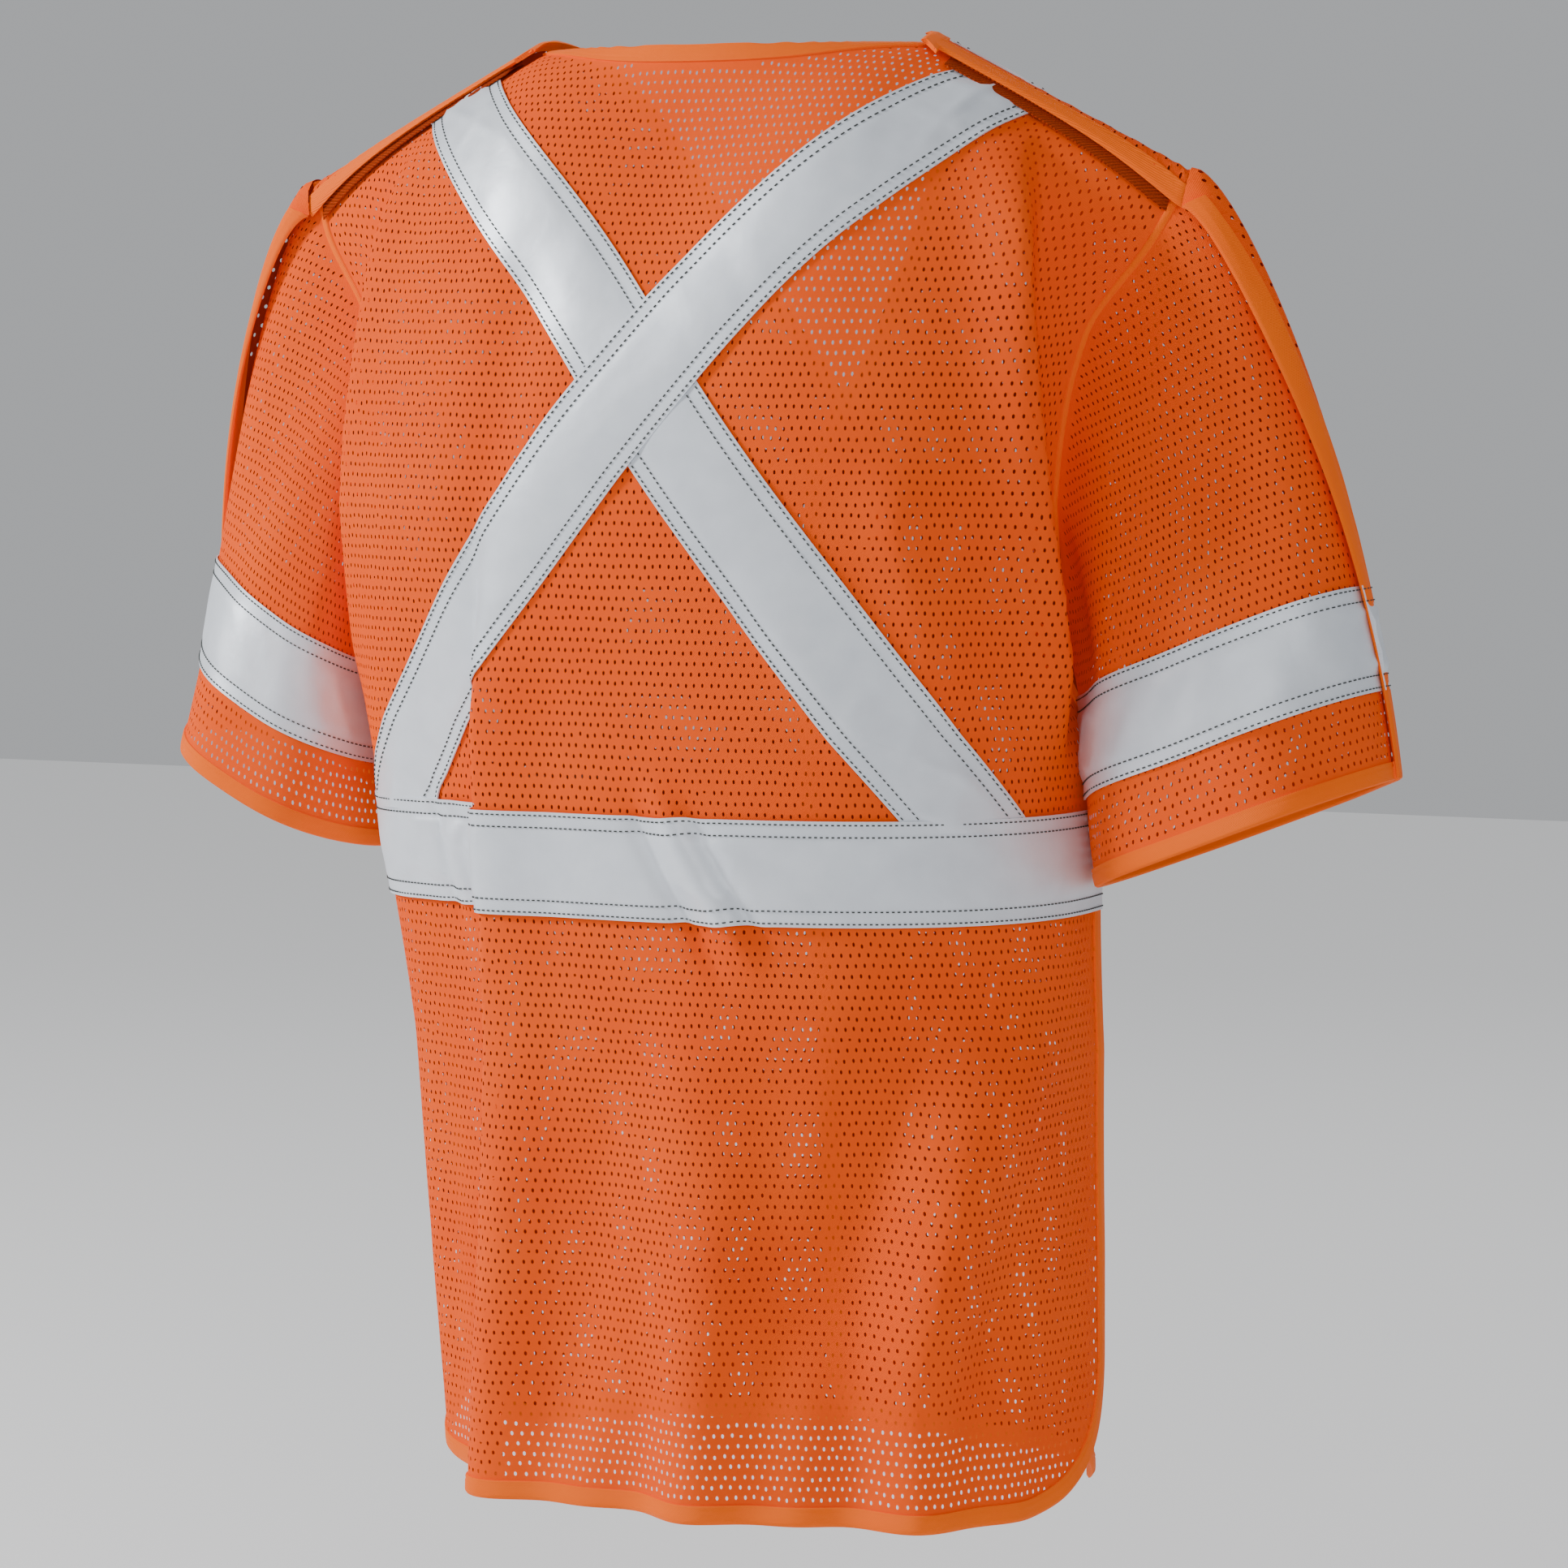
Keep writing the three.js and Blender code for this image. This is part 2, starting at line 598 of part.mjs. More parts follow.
/** Side edge and hem of a front's outboard part, from the underarm to the fold. */
function frontSideBindingPlace(u, v) {
  const inward = u * BINDING_WIDTH;
  const edge = (height) => sideFront(height) + sideLap(height);
  const row = Math.round(v * SIDE_BINDING_ROWS);
  if (row <= SIDE_ROWS) {
    const height = frontRow(FRONT_ARM_ROW - row) - (row === 0 ? BUTT : 0);
    return [edge(height) - inward, height];
  }
  if (row <= SIDE_ROWS + CORNER_ROWS) {
    const angle = (Math.PI / 2) * ((row - SIDE_ROWS) / CORNER_ROWS);
    const radius = HEM_CORNER - inward;
    const height = HEM + HEM_CORNER - radius * Math.sin(angle);
    return [edge(height) - HEM_CORNER + radius * Math.cos(angle), height];
  }
  const t = (row - SIDE_ROWS - CORNER_ROWS) / HEM_ROWS;
  return [mix(edge(HEM) - HEM_CORNER, fold(HEM) + FOLD_GAP, t), HEM + inward];
}

const CENTRE_END = 0.8; // shares of the way from the top of the fold to its bottom
const CENTRE_CORNER_END = 0.92;

/** V neck, centre edge and hem of a flap, from the top of its fold to the bottom. */
function flapBindingPlace(u, v) {
  const inward = u * BINDING_WIDTH;
  if (v < CENTRE_END) {
    const height = flapRow(mix(FLAP_ROWS, FLAP_STOPS[0], v / CENTRE_END));
    return [innerEdge(height, 0) + inward, height];
  }
  const start = -LAP_HALF + CENTRE_CORNER;
  if (v < CENTRE_CORNER_END) {
    const angle = (Math.PI / 2) * ((v - CENTRE_END) / (CENTRE_CORNER_END - CENTRE_END));
    const radius = CENTRE_CORNER - inward;
    return [start - radius * Math.cos(angle), HEM + CENTRE_CORNER - radius * Math.sin(angle)];
  }
  const t = (v - CENTRE_CORNER_END) / (1 - CENTRE_CORNER_END);
  return [mix(start, fold(HEM) - FOLD_GAP, t), HEM + inward];
}

function makeFront(side, name) {
  const surface = onFront(side);
  const add = (piece, cols, rows, place, layer, look) => addPiece(
    `${name}_${piece}`,
    shell(patch(surface, cols, rows, place, side), ...layer),
    look,
  );
  add('front_panel', FRONT_COLS, FRONT_ROWS, frontPlace, clothLayer, ORANGE_MESH);
  add('flap_panel', FLAP_COLS, FLAP_ROWS, flapPlace, clothLayer, ORANGE_MESH);
  add(
    'front_side_binding',
    1,
    SIDE_BINDING_ROWS,
    frontSideBindingPlace,
    bindingLayer,
    ORANGE_BINDING,
  );
  add('flap_binding', 1, 30, flapBindingPlace, bindingLayer, ORANGE_BINDING);
  const neck = (u, v) => {
    const height = mix(flapTop + BUTT, frontNeck + SHOULDER_LAP - INSET, v);
    return [neckEdge(height) + u * BINDING_WIDTH, height];
  };
  add('front_neck_binding', 1, 20, neck, bindingLayer, ORANGE_BINDING);
  const shoulder = (u, v) => {
    const across = mix(NECK_ACROSS + INSET, TIP_ACROSS, v);
    return [across, topHeight(across, true) + SHOULDER_LAP - BINDING_WIDTH * (1 - u)];
  };
  add('front_shoulder_binding', 1, 8, shoulder, bindingLayer, ORANGE_BINDING);
  const strap = (u, v) => {
    const across = NECK_ACROSS + FRONT_STRAP_CLEAR + u * TAPE_WIDTH;
    return [across, mix(BAND_TOP + BUTT, topHeight(across, true) + SHOULDER_LAP - INSET, v)];
  };
  add('front_strap', 3, 26, strap, onTop(TAPE), SILVER_TAPE);
  const bandHeight = (u) => BAND_TOP - TAPE_WIDTH * (1 - u);
  const sideBand = (u, v) => {
    const height = bandHeight(u);
    return [mix(fold(height) + FOLD_GAP, sideFront(height) + BAND_PAST, v), height];
  };
  add('front_band', 1, 14, sideBand, onTop(TAPE), SILVER_TAPE);
  const flapBand = (u, v) => {
    const height = bandHeight(u);
    return [mix(-LAP_HALF + INSET, fold(height) - FOLD_GAP, v), height];
  };
  add('flap_band', 1, 8, flapBand, onTop(TAPE), SILVER_TAPE);
  const hook = (u, v) => {
    const across = mix(NECK_ACROSS + BINDING_WIDTH + STRIP_CLEAR, TIP_ACROSS - STRIP_CLEAR, v);
    return [across, topHeight(across, true) + mix(BUTT, SHOULDER_LAP - INSET, u)];
  };
  add('shoulder_hook', 1, 8, hook, underneath(STRIP), ORANGE_HOOK);
  const sideHook = (u, v) => {
    const height = BAND_TOP - TAPE_WIDTH * v;
    return [sideFront(height) + mix(BAND_PAST + 2 * BUTT, SIDE_LAP - INSET, u), height];
  };
  add('side_hook', 2, 1, sideHook, onTop(STRIP), ORANGE_HOOK);
  const closure = (u, v) => [CLOSURE[1] * (u - 0.5), BAND_TOP + CLOSURE_RISE + CLOSURE[0] * v];
  const [closureName, layer] = side > 0 ? ['closure_hook', underneath] : ['closure_loop', onTop];
  add(closureName, 1, 4, closure, layer(STRIP), ORANGE_HOOK);
}

function makeTab(side, name) {
  const [height, width, thickness] = TAB;
  const strapEdge = NECK_ACROSS + FRONT_STRAP_CLEAR + TAPE_WIDTH;
  const place = [(strapEdge + outerEdge(TAB_HEIGHT, true, 0)) / 2, TAB_HEIGHT];
  const [[[point, normal]]] = patch(onFront(side), 1, 1, () => place, side);
  const box = new THREE.BoxGeometry(width, thickness, height);
  const tab = addPiece(`${name}_mic_tab`, box, ORANGE_BINDING);
  const up = new THREE.Vector3(0, 0, 1).projectOnPlane(normal).normalize();
  const basis = new THREE.Matrix4().makeBasis(up.clone().cross(normal).negate(), normal, up);
  tab.setRotationFromMatrix(basis);
  tab.position.copy(point).addScaledVector(normal, (CLOTH + GAP + thickness) / 2);
}

// ---- Sleeves ------------------------------------------------------------------------------
const HEM_MIDDLE = [
  HALF_WIDTH[1] + (HEM_OUT[0] + HEM_IN[0]) / 2,
  (HEM_OUT[1] + HEM_IN[1]) / 2,
];
const hemOver = [(HEM_OUT[0] - HEM_IN[0]) / 2, (HEM_OUT[1] - HEM_IN[1]) / 2];
const TOP_START = [80, -8]; // way that the cloth leaves the tip, across and up
const UNDER_START = [40, -26]; // and the underarm
const SLEEVE_END = [30, -95]; // way that it reaches the hem
const HEM_ROUND = 215; // about how far round each half reaches at the hem
const ARMHOLE_ROUND = 300; // and at the armhole
const TOP_CLEAR = 1.2; // clearance of each half along the top of the arm
const SLEEVE_COLS = 9; // columns that meet the armhole's rows one for one

/**
 * Where a sleeve's half lies: s runs from 0 along the top of the arm to 1 at the underarm, and
 * t from 0 at the armhole to 1 at the hem.
 */
function sleevePoint(side, front, s, t) {
  const [across, height] = armhole(1 - s, front);
  const start = front ? onFront(side)(across, height) : onBack(side * across, height);
  const angle = Math.PI * s;
  const depth = (front ? -1 : 1) * HEM_HALF_DEPTH * Math.sin(angle);
  const end = new THREE.Vector3(
    side * (HEM_MIDDLE[0] + hemOver[0] * Math.cos(angle)),
    depth,
    HEM_MIDDLE[1] + hemOver[1] * Math.cos(angle),
  );
  const leave = new THREE.Vector3(
    side * mix(TOP_START[0], UNDER_START[0], s),
    0,
    mix(TOP_START[1], UNDER_START[1], s),
  );
  const arrive = new THREE.Vector3(side * SLEEVE_END[0], 0, SLEEVE_END[1]);
  const t2 = t * t;
  const t3 = t2 * t;
  return start.multiplyScalar(2 * t3 - 3 * t2 + 1)
    .addScaledVector(leave, t3 - 2 * t2 + t)
    .addScaledVector(end, 3 * t2 - 2 * t3)
    .addScaledVector(arrive, t3 - t2);
}

const sleeveTables = new Map();

/** Rows of [length up from the hem, t] along a sleeve, at a share s of the way round. */
function sleeveTable(side, front, s) {
  const key = `${side} ${front} ${s.toFixed(5)}`;
  if (!sleeveTables.has(key)) {
    const steps = 40;
    const rows = [[0, 1]];
    let last = sleevePoint(side, front, s, 1);
    for (let k = steps - 1; k >= 0; k -= 1) {
      const point = sleevePoint(side, front, s, k / steps);
      rows.push([rows.at(-1)[0] + point.distanceTo(last), k / steps]);
      last = point;
    }
    sleeveTables.set(key, rows);
  }
  return sleeveTables.get(key);
}

const SCALE = 250; // stands in for millimetres, so that patch can step along s and t

/** A sleeve's back or front half. Places on it are millimetres up from its hem. */
function makeSleeveHalf(side, front, name) {
  const surface = (a, h) => sleevePoint(side, front, a / SCALE, h / SCALE);
  const length = (s) => sleeveTable(side, front, s).at(-1)[0];
  const place = (s, up) => [SCALE * s, SCALE * lookUp(sleeveTable(side, front, s), up)[1]];
  const roundHalf = (up) => mix(HEM_ROUND, ARMHOLE_ROUND, up / length(0));
  const share = (mm, up) => mm / roundHalf(up);
  const add = (piece, cols, rows, where, layer, look) => addPiece(
    `${name}_${piece}`,
    shell(patch(surface, cols, rows, where, front ? side : -side), ...layer),
    look,
  );
  const last = 1 - UNDERARM_SHARE;
  const start = (up) => share(front ? INSET : TOP_CLEAR, up);
  const rise = (s, v) => mix(INSET, length(s) - SEAM_GAP, v);
  const panel = (u, v) => {
    const s = mix(start(rise(0, v)), last, u);
    return place(s, rise(s, v));
  };
  add('panel', SLEEVE_COLS, 6, panel, clothLayer, ORANGE_MESH);
  const tape = (u, v) => {
    const up = SLEEVE_TAPE_LOW + TAPE_WIDTH * v;
    return place(mix(start(up), last, u), up);
  };
  add('tape', 16, 2, tape, onTop(TAPE), SILVER_TAPE);
  const hem = (u, v) => place(mix(share(TOP_CLEAR, 0), last, u), BINDING_WIDTH * v);
  add('hem_binding', 14, 1, hem, bindingLayer, ORANGE_BINDING);
  if (front) {
    const top = (u, v) => {
      const s = share(mix(TOP_CLEAR, BINDING_WIDTH, u), rise(0, v));
      return place(s, rise(s, v));
    };
    add('top_binding', 1, 10, top, bindingLayer, ORANGE_BINDING);
  }
}

makeBack();
for (const [side, name] of SIDES) {
  makeFront(side, name);
  makeTab(side, name);
  makeSleeveHalf(side, false, `${name}_sleeve_back`);
  makeSleeveHalf(side, true, `${name}_sleeve_front`);
}

export default group;
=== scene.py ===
# %% [markdown]
# # A high visibility vest with short sleeves
# The vest is cut from warp-knitted polyester mesh, bound round its edges with folded twill tape,
# and crossed by strips of retroreflective tape. It comes apart at the shoulders, sides and front,
# where hook-and-loop strips hold it, so that it tears away if it is caught in a machine.
#
# Garments are cut flat and only then put on, and this lesson works in the same order. Every piece
# is made flat, with x for the distance across the cloth, y for the height up it and z for the
# layer, all in millimetres. One function then dresses the worn form with it.

# %% Load the frame
import json
import math

import bmesh
import bpy
import numpy as np
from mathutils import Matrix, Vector


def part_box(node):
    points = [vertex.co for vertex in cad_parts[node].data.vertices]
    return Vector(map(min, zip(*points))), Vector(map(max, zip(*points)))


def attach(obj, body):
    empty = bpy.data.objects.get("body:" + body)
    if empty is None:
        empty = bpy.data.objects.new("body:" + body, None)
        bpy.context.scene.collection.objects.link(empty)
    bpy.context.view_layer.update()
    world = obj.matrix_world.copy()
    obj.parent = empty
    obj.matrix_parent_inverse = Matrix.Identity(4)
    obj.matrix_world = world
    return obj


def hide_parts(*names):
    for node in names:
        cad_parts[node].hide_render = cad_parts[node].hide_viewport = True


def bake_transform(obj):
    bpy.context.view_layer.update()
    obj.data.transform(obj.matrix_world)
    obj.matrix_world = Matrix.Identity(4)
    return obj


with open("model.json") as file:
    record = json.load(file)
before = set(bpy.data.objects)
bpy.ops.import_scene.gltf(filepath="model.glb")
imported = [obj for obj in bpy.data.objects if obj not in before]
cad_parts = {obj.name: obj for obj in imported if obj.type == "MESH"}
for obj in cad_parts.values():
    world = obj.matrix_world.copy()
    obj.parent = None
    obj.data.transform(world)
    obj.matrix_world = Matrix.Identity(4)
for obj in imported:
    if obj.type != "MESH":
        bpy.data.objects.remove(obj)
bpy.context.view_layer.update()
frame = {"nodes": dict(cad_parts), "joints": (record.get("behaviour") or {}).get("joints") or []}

MM = 0.001

# %% [markdown]
# ## Sizes
# The main levels and reaches are read from the frame, so that the cloth lands on the solids that
# it stands for. The rest are the sizes that the pattern was cut to.

# %% Sizes
def reach(node, axis, low):
    """One side of a node's box, in millimetres."""
    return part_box(node)[0 if low else 1][axis] / MM


HEM = round(reach("back_edge_binding", 2, True))
BAND_TOP = round(reach("back_waist_band", 2, False))
NECK_HALF = round(reach("neck_binding", 0, False))
TAPE_WIDTH = 50.8

# the trunk: heights are from the high point of the shoulders, and pairs are at the hem and at BREAK
BREAK, UNDERARM = -225, -292  # where the cloth leaves the shoulder blades, and the armhole's foot
HALF_WIDTH, WIDTH_POWER = (172, 206), 2.2
BACK_DEPTH, FRONT_DEPTH, ROUNDNESS = (120, 134), (116, 122), 2.35
TIP_HALF, SHOULDER_DROP = 236, 68  # half the width over the shoulders, and their fall to the tip
RIDGE_Y, TOP_SPREAD = 12, 0.94
NECK_BACK_Y, NECK_FRONT_Y = 62, -52
V_BOTTOM, V_BOW = -205, 12
HEM_CORNER, CENTRE_CORNER = 74, 36  # radii
ARMHOLE_SCOOP = 30

# laps: how far one cloth passes another, and the gaps between their layers
SIDE_PAST, SIDE_LAP, SIDE_STEP = 14, 30, 5.8
SIDE_OPEN, SIDE_CLEAR, SIDE_FLARE = 26, 5.5, 60
LAP_HALF, LAP_STEP, LAP_EASE = 20, 6, 70
SHOULDER_LAP, SHOULDER_STEP, LAP_GAP, LAP_BLEND = 14, 6, 4.8, 15

# trims
BINDING_WIDTH, STRIP_WIDTH, STRIP_CLEAR, BUTT = 9, 20, 6, 0.8
TAB, TAB_HEIGHT = (58, 24), -188  # microphone tab: its length and width, and its middle
CLOSURE, CLOSURE_RISE = (120, 20), 8  # centre closure: length and width, and its rise over the band
BAND_PAST = 5
CROSS, STRAP_REACH, STRAP_BOW = -162, 166, 24  # back straps: crossing, reach to the side, bow
SLEEVE_TAPE_LOW = 43

# sleeves
SIDES = ((1, "left"), (-1, "right"))
HEM_OUT = {1: (314, -348), -1: (334, -352)}  # outer end of each sleeve's hem: distance out, height
HEM_IN = {1: (204, -404), -1: (191, -408)}  # inner end, against the body
HEM_HALF_DEPTH = 68
HEM_TURN = {1: 0.3, -1: 0.14}  # how far the top of each hem is turned to the front, in radians
HEM_ROUND, ARMHOLE_ROUND = 215, 300  # length round half a sleeve
print("hem", HEM, "band top", BAND_TOP, "neck", NECK_HALF)

# %% [markdown]
# ## The worn form
# Cloth on a standing wearer hangs straight down from the shoulder blades, so below them the form
# is a stack of rounded rings, and above them each column of cloth leans in to the shoulder on a
# smooth curve. A flat place is found on it by its length along the cloth, which keeps the knit and
# the tape at their true size. The form is worked out once, on a grid of flat places.

# %% Easing and rings
def ease(t):
    c = np.clip(t, 0, 1)
    return c * c * (3 - 2 * c)


def mix(a, b, t):
    return a + (b - a) * t


def size_at(pair, height, power=1):
    return mix(pair[0], pair[1], np.clip((height - HEM) / (BREAK - HEM), 0, 1) ** power)


def half_width(height, front):
    tuck = SIDE_STEP * ease((UNDERARM - height) / SIDE_OPEN) if front else 0
    return size_at(HALF_WIDTH, height, WIDTH_POWER) - tuck


def arc_table(depth):
    """Half a superellipse of width 1: the length of its arc, with x and y."""
    angle = np.linspace(0, math.pi, 401)
    c = np.cos(angle)
    x = np.abs(np.sin(angle)) ** (2 / ROUNDNESS)
    y = depth * np.sign(c) * np.abs(c) ** (2 / ROUNDNESS)
    length = np.concatenate([[0], np.cumsum(np.hypot(np.diff(x), np.diff(y)))])
    return length, x, y


def ring(across, width, depth):
    length, x, y = arc_table(depth / width)
    along = np.abs(across) / width
    out = np.sign(across) * np.interp(along, length, x)
    return out * width, np.interp(along, length, y) * width


def quarter(height, front):
    width = half_width(height, front)
    depth = size_at(FRONT_DEPTH if front else BACK_DEPTH, height)
    return float(width * arc_table(depth / width)[0][200])


print("quarter round the hem: back", round(quarter(HEM, False)), "front", round(quarter(HEM, True)))

# %% [markdown]
# Above the shoulder blades a ring no longer fits, since the cloth is drawn in to two straight
# shoulder seams and a round neck. Each column of cloth is a Bezier curve there instead. It leaves
# the top ring upright and reaches the seam at the slope of the shoulder, and its length says how
# much cloth lies between the two.

# %% Columns above the shoulder blades
def top_edge(x, neck_y):
    out = np.abs(x)
    inside = out <= NECK_HALF
    y = RIDGE_Y + (neck_y - RIDGE_Y) * (1 - (np.minimum(out, NECK_HALF) / NECK_HALF) ** 2.2)
    z = -(out - NECK_HALF) * SHOULDER_DROP / (TIP_HALF - NECK_HALF)
    return np.where(inside, y, RIDGE_Y), np.where(inside, 0, z)


def columns(across, front):
    """Points up each column of cloth above BREAK, and their length along it."""
    depth = (FRONT_DEPTH if front else BACK_DEPTH)[1]
    x1, y1 = ring(across, HALF_WIDTH[1], depth)
    y1 = -y1 if front else y1
    x4 = np.sign(across) * np.minimum(np.abs(across) * TOP_SPREAD, TIP_HALF)
    y4, z4 = top_edge(x4, NECK_FRONT_Y if front else NECK_BACK_Y)
    z4 = z4 + (SHOULDER_STEP if front else 0)
    rise, lean = z4 - BREAK, y1 - y4
    over = ease(np.abs(x4) / NECK_HALF)
    corners = (
        (x1, y1, np.full_like(x1, BREAK)),
        (mix(x1, x4, 0.4), y1, BREAK + 0.5 * rise),
        (x4, y4 + lean * mix(0.25, 0.55, over), z4 - rise * mix(0.3, 0.02, over)),
        (x4, y4, z4),
    )
    t = np.linspace(0, 1, 41)[:, None]
    weights = ((1 - t) ** 3, 3 * t * (1 - t) ** 2, 3 * t * t * (1 - t), t**3)
    points = sum(w[..., None] * np.stack(c, -1)[None] for w, c in zip(weights, corners))
    steps = np.linalg.norm(np.diff(points, axis=0), axis=-1)
    length = np.concatenate([np.zeros((1, len(across))), np.cumsum(steps, axis=0)])
    return points, length


TOP_ACROSS = np.arange(0, 301.0, 1.0)
TOPS = {f: BREAK + columns(TOP_ACROSS + 1e-6, f)[1][-1] for f in (False, True)}
TIP_ACROSS, NECK_ACROSS = TIP_HALF / TOP_SPREAD, NECK_HALF / TOP_SPREAD


def top_height(across, front):
    return np.interp(np.abs(across), TOP_ACROSS, TOPS[front])


TIP_HEIGHT = {f: float(top_height(TIP_ACROSS, f)) for f in (False, True)}
print("cloth over the shoulder's tip", TIP_HEIGHT)

# %% [markdown]
# ## How the cloth settles
# Loose mesh doesn't follow the body exactly. It falls in a deep fold beside the left shoulder
# blade, bunches where the back meets each sleeve, and swings a little to one side at the hem.
# A cloth simulation could find folds of its own, but these ones have to be in known places, so
# each is a smooth push along the cloth's normal. Every layer is dressed on the same settled
# surface, which keeps tape and binding on the mesh wherever it goes.

# %% Pushes that fold the cloth
FOLD_LINE = ((BREAK, 78), (-420, 86), (HEM, 116))  # the deep fold: height and distance across
CREASE_LINE = ((-30, 172), (-100, 183), (-150, 190), (-230, 204), (-330, 226))
SWAY = ((HEM, -14), (-590, -11), (-490, -7), (-400, 2), (-330, 6), (-250, 3), (-150, 0))
BACK_RIDGES = (  # where each starts and ends, its width and its height, below 0 for a hollow
    ((-205, -440), (-90, -690), 24, 11),
    ((-205, -540), (-130, -712), 16, -3),
    ((-150, -425), (-50, -660), 20, -5),
    ((-30, -420), (25, -715), 22, 6),
    ((20, -470), (60, -715), 16, -4),
    ((60, -60), (95, -330), 18, -4),
    ((-8, -345), (-62, -452), 7, 5),
    ((5, -352), (-46, -460), 5, -3.5),
    ((-24, -352), (-74, -448), 5, -2),
    ((128, -355), (112, -435), 5, 2.5),
    ((138, -352), (124, -440), 4, -2),
    ((-120, -190), (-165, -330), 16, 5),
    ((-60, -250), (-130, -360), 14, 3),
)


def along_line(line, height):
    heights, values = zip(*sorted(line))
    return np.interp(height, heights, values)


def ridge(a, h, start, end, width, height):
    """A soft ridge between two flat places, fading out at its ends."""
    (a0, h0), (a1, h1) = start, end
    run = math.hypot(a1 - a0, h1 - h0)
    da, dh = (a1 - a0) / run, (h1 - h0) / run
    s = ((a - a0) * da + (h - h0) * dh) / run
    d = (a - a0) * dh - (h - h0) * da
    return height * np.exp(-((d / width) ** 2)) * ease(s / 0.3) * ease((1 - s) / 0.3)


def back_push(a, h):
    line = along_line(FOLD_LINE, h)
    deep = ease((BREAK + 25 - h) / 150)
    past = a - line
    push = deep * 7 * ease(1 + past / 45) * (past < 0)
    push = push + deep * (past >= 0) * (7 - 21 * ease(past / 13)) * (1 - ease((past - 34) / 75))
    crease = np.abs(a) - along_line(CREASE_LINE, h)
    lift = np.where(a < 0, 1.0, 0.5) * ease((h + 350) / 60)
    lift = lift * ease((top_height(a, False) - h - 22) / 65)
    push = push + lift * (11 * np.exp(-((crease / 18) ** 2)) - 30 * ease((crease - 1) / 12))
    low = ease((-430 - h) / 230) * (1 - 0.75 * ease((np.abs(a) - 170) / 45))
    push = push + low * (6.4 * np.sin(a / 18 + 0.6 + h / 160) + 3.2 * np.sin(a / 9 + h / 70))
    for start, end, width, height in BACK_RIDGES:
        push = push + ridge(a, h, start, end, width, height)
    return push


def front_push(a, h):
    low = ease((-330 - h) / 330)
    push = low * (3.0 * np.sin(a / 19 + 1.1) + 1.6 * np.sin(a / 9 - h / 80))
    push = push + ridge(a, h, (60, -150), (150, -420), 22, 4)
    return push * ease((250 - a) / 60) * ease((a + 30) / 60)


print("ridges on the back", len(BACK_RIDGES), "sway at the hem", along_line(SWAY, HEM))

# %% [markdown]
# A Form holds one settled surface as a grid of points and outward normals. at() reads it between
# the grid's points, and stands a layer off it along the normal.

# %% The Form class
STEP = 3.0


class Form:
    def __init__(self, points, outward, low, step):
        self.points, self.outward, self.low, self.step = points, outward, low, step

    def settle(self, push, sway=True):
        self.points = self.points + self.normals() * push[..., None]
        if sway:
            self.points[..., 0] += along_line(SWAY, self.points[..., 2])
        return self

    def normals(self):
        up = np.gradient(self.points, axis=0)
        over = np.gradient(self.points, axis=1)
        n = np.cross(over, up) * self.outward
        return n / np.maximum(np.linalg.norm(n, axis=-1, keepdims=True), 1e-9)

    def at(self, a, h, layer=0.0):
        i = (np.asarray(h, float) - self.low[1]) / self.step[1]
        j = (np.asarray(a, float) - self.low[0]) / self.step[0]
        rows, cols = self.points.shape[:2]
        i, j = np.clip(i, 0, rows - 1.001), np.clip(j, 0, cols - 1.001)
        i0, j0 = i.astype(int), j.astype(int)
        fi, fj = (i - i0)[..., None], (j - j0)[..., None]
        if not hasattr(self, "_n"):
            self._n = self.normals()

        def read(g):
            low = g[i0, j0] * (1 - fj) + g[i0, j0 + 1] * fj
            high = g[i0 + 1, j0] * (1 - fj) + g[i0 + 1, j0 + 1] * fj
            return low * (1 - fi) + high * fi

        return read(self.points) + read(self._n) * np.asarray(layer)[..., None]


print("the trunk's grids have a step of", STEP, "mm")

# %% [markdown]
# The trunk's grids are filled row by row below the shoulder blades and column by column above
# them, and are then settled. Where a front passes the shoulder's ridge it lies on the back's
# cloth, so its top rows are led over to the back's own surface.

# %% Forms of the trunk
def torso_form(front, side):
    """The back, or one side's front with distances across counted outwards from the centre."""
    low = -33.0 if front else -306.0
    a = np.arange(low, 307, STEP)
    h = np.arange(HEM - 9, 100, STEP)
    points = np.zeros((len(h), len(a), 3))
    depths = FRONT_DEPTH if front else BACK_DEPTH
    flip = -1 if front else 1
    for i in np.flatnonzero(h <= BREAK):
        x, y = ring(a, half_width(h[i], front), size_at(depths, h[i]))
        points[i] = np.stack([x, flip * y, np.full_like(x, h[i])], -1)
    up, length = columns(a + 1e-6, front)
    for j in range(len(a)):
        high = h > BREAK
        past = np.maximum(0, h[high] - BREAK - length[-1, j])
        column = [np.interp(h[high] - BREAK, length[:, j], up[:, j, k]) for k in range(3)]
        points[high, j] = np.stack(column, -1)
        points[high, j, 1] -= past * flip
        points[high, j, 2] -= 0 if front else 0.5 * past
    if front:
        points[..., 0] *= side
        if side > 0:
            points[..., 1] -= LAP_STEP * ease((LAP_EASE - a) / LAP_EASE)
    grid_h, grid_a = np.meshgrid(h, a, indexing="ij")
    form = Form(points, side if front else -1, (low, h[0]), (STEP, STEP))
    push = front_push(grid_a, grid_h) if front else back_push(grid_a, grid_h)
    return form.settle(push)


BACK = torso_form(False, 1)


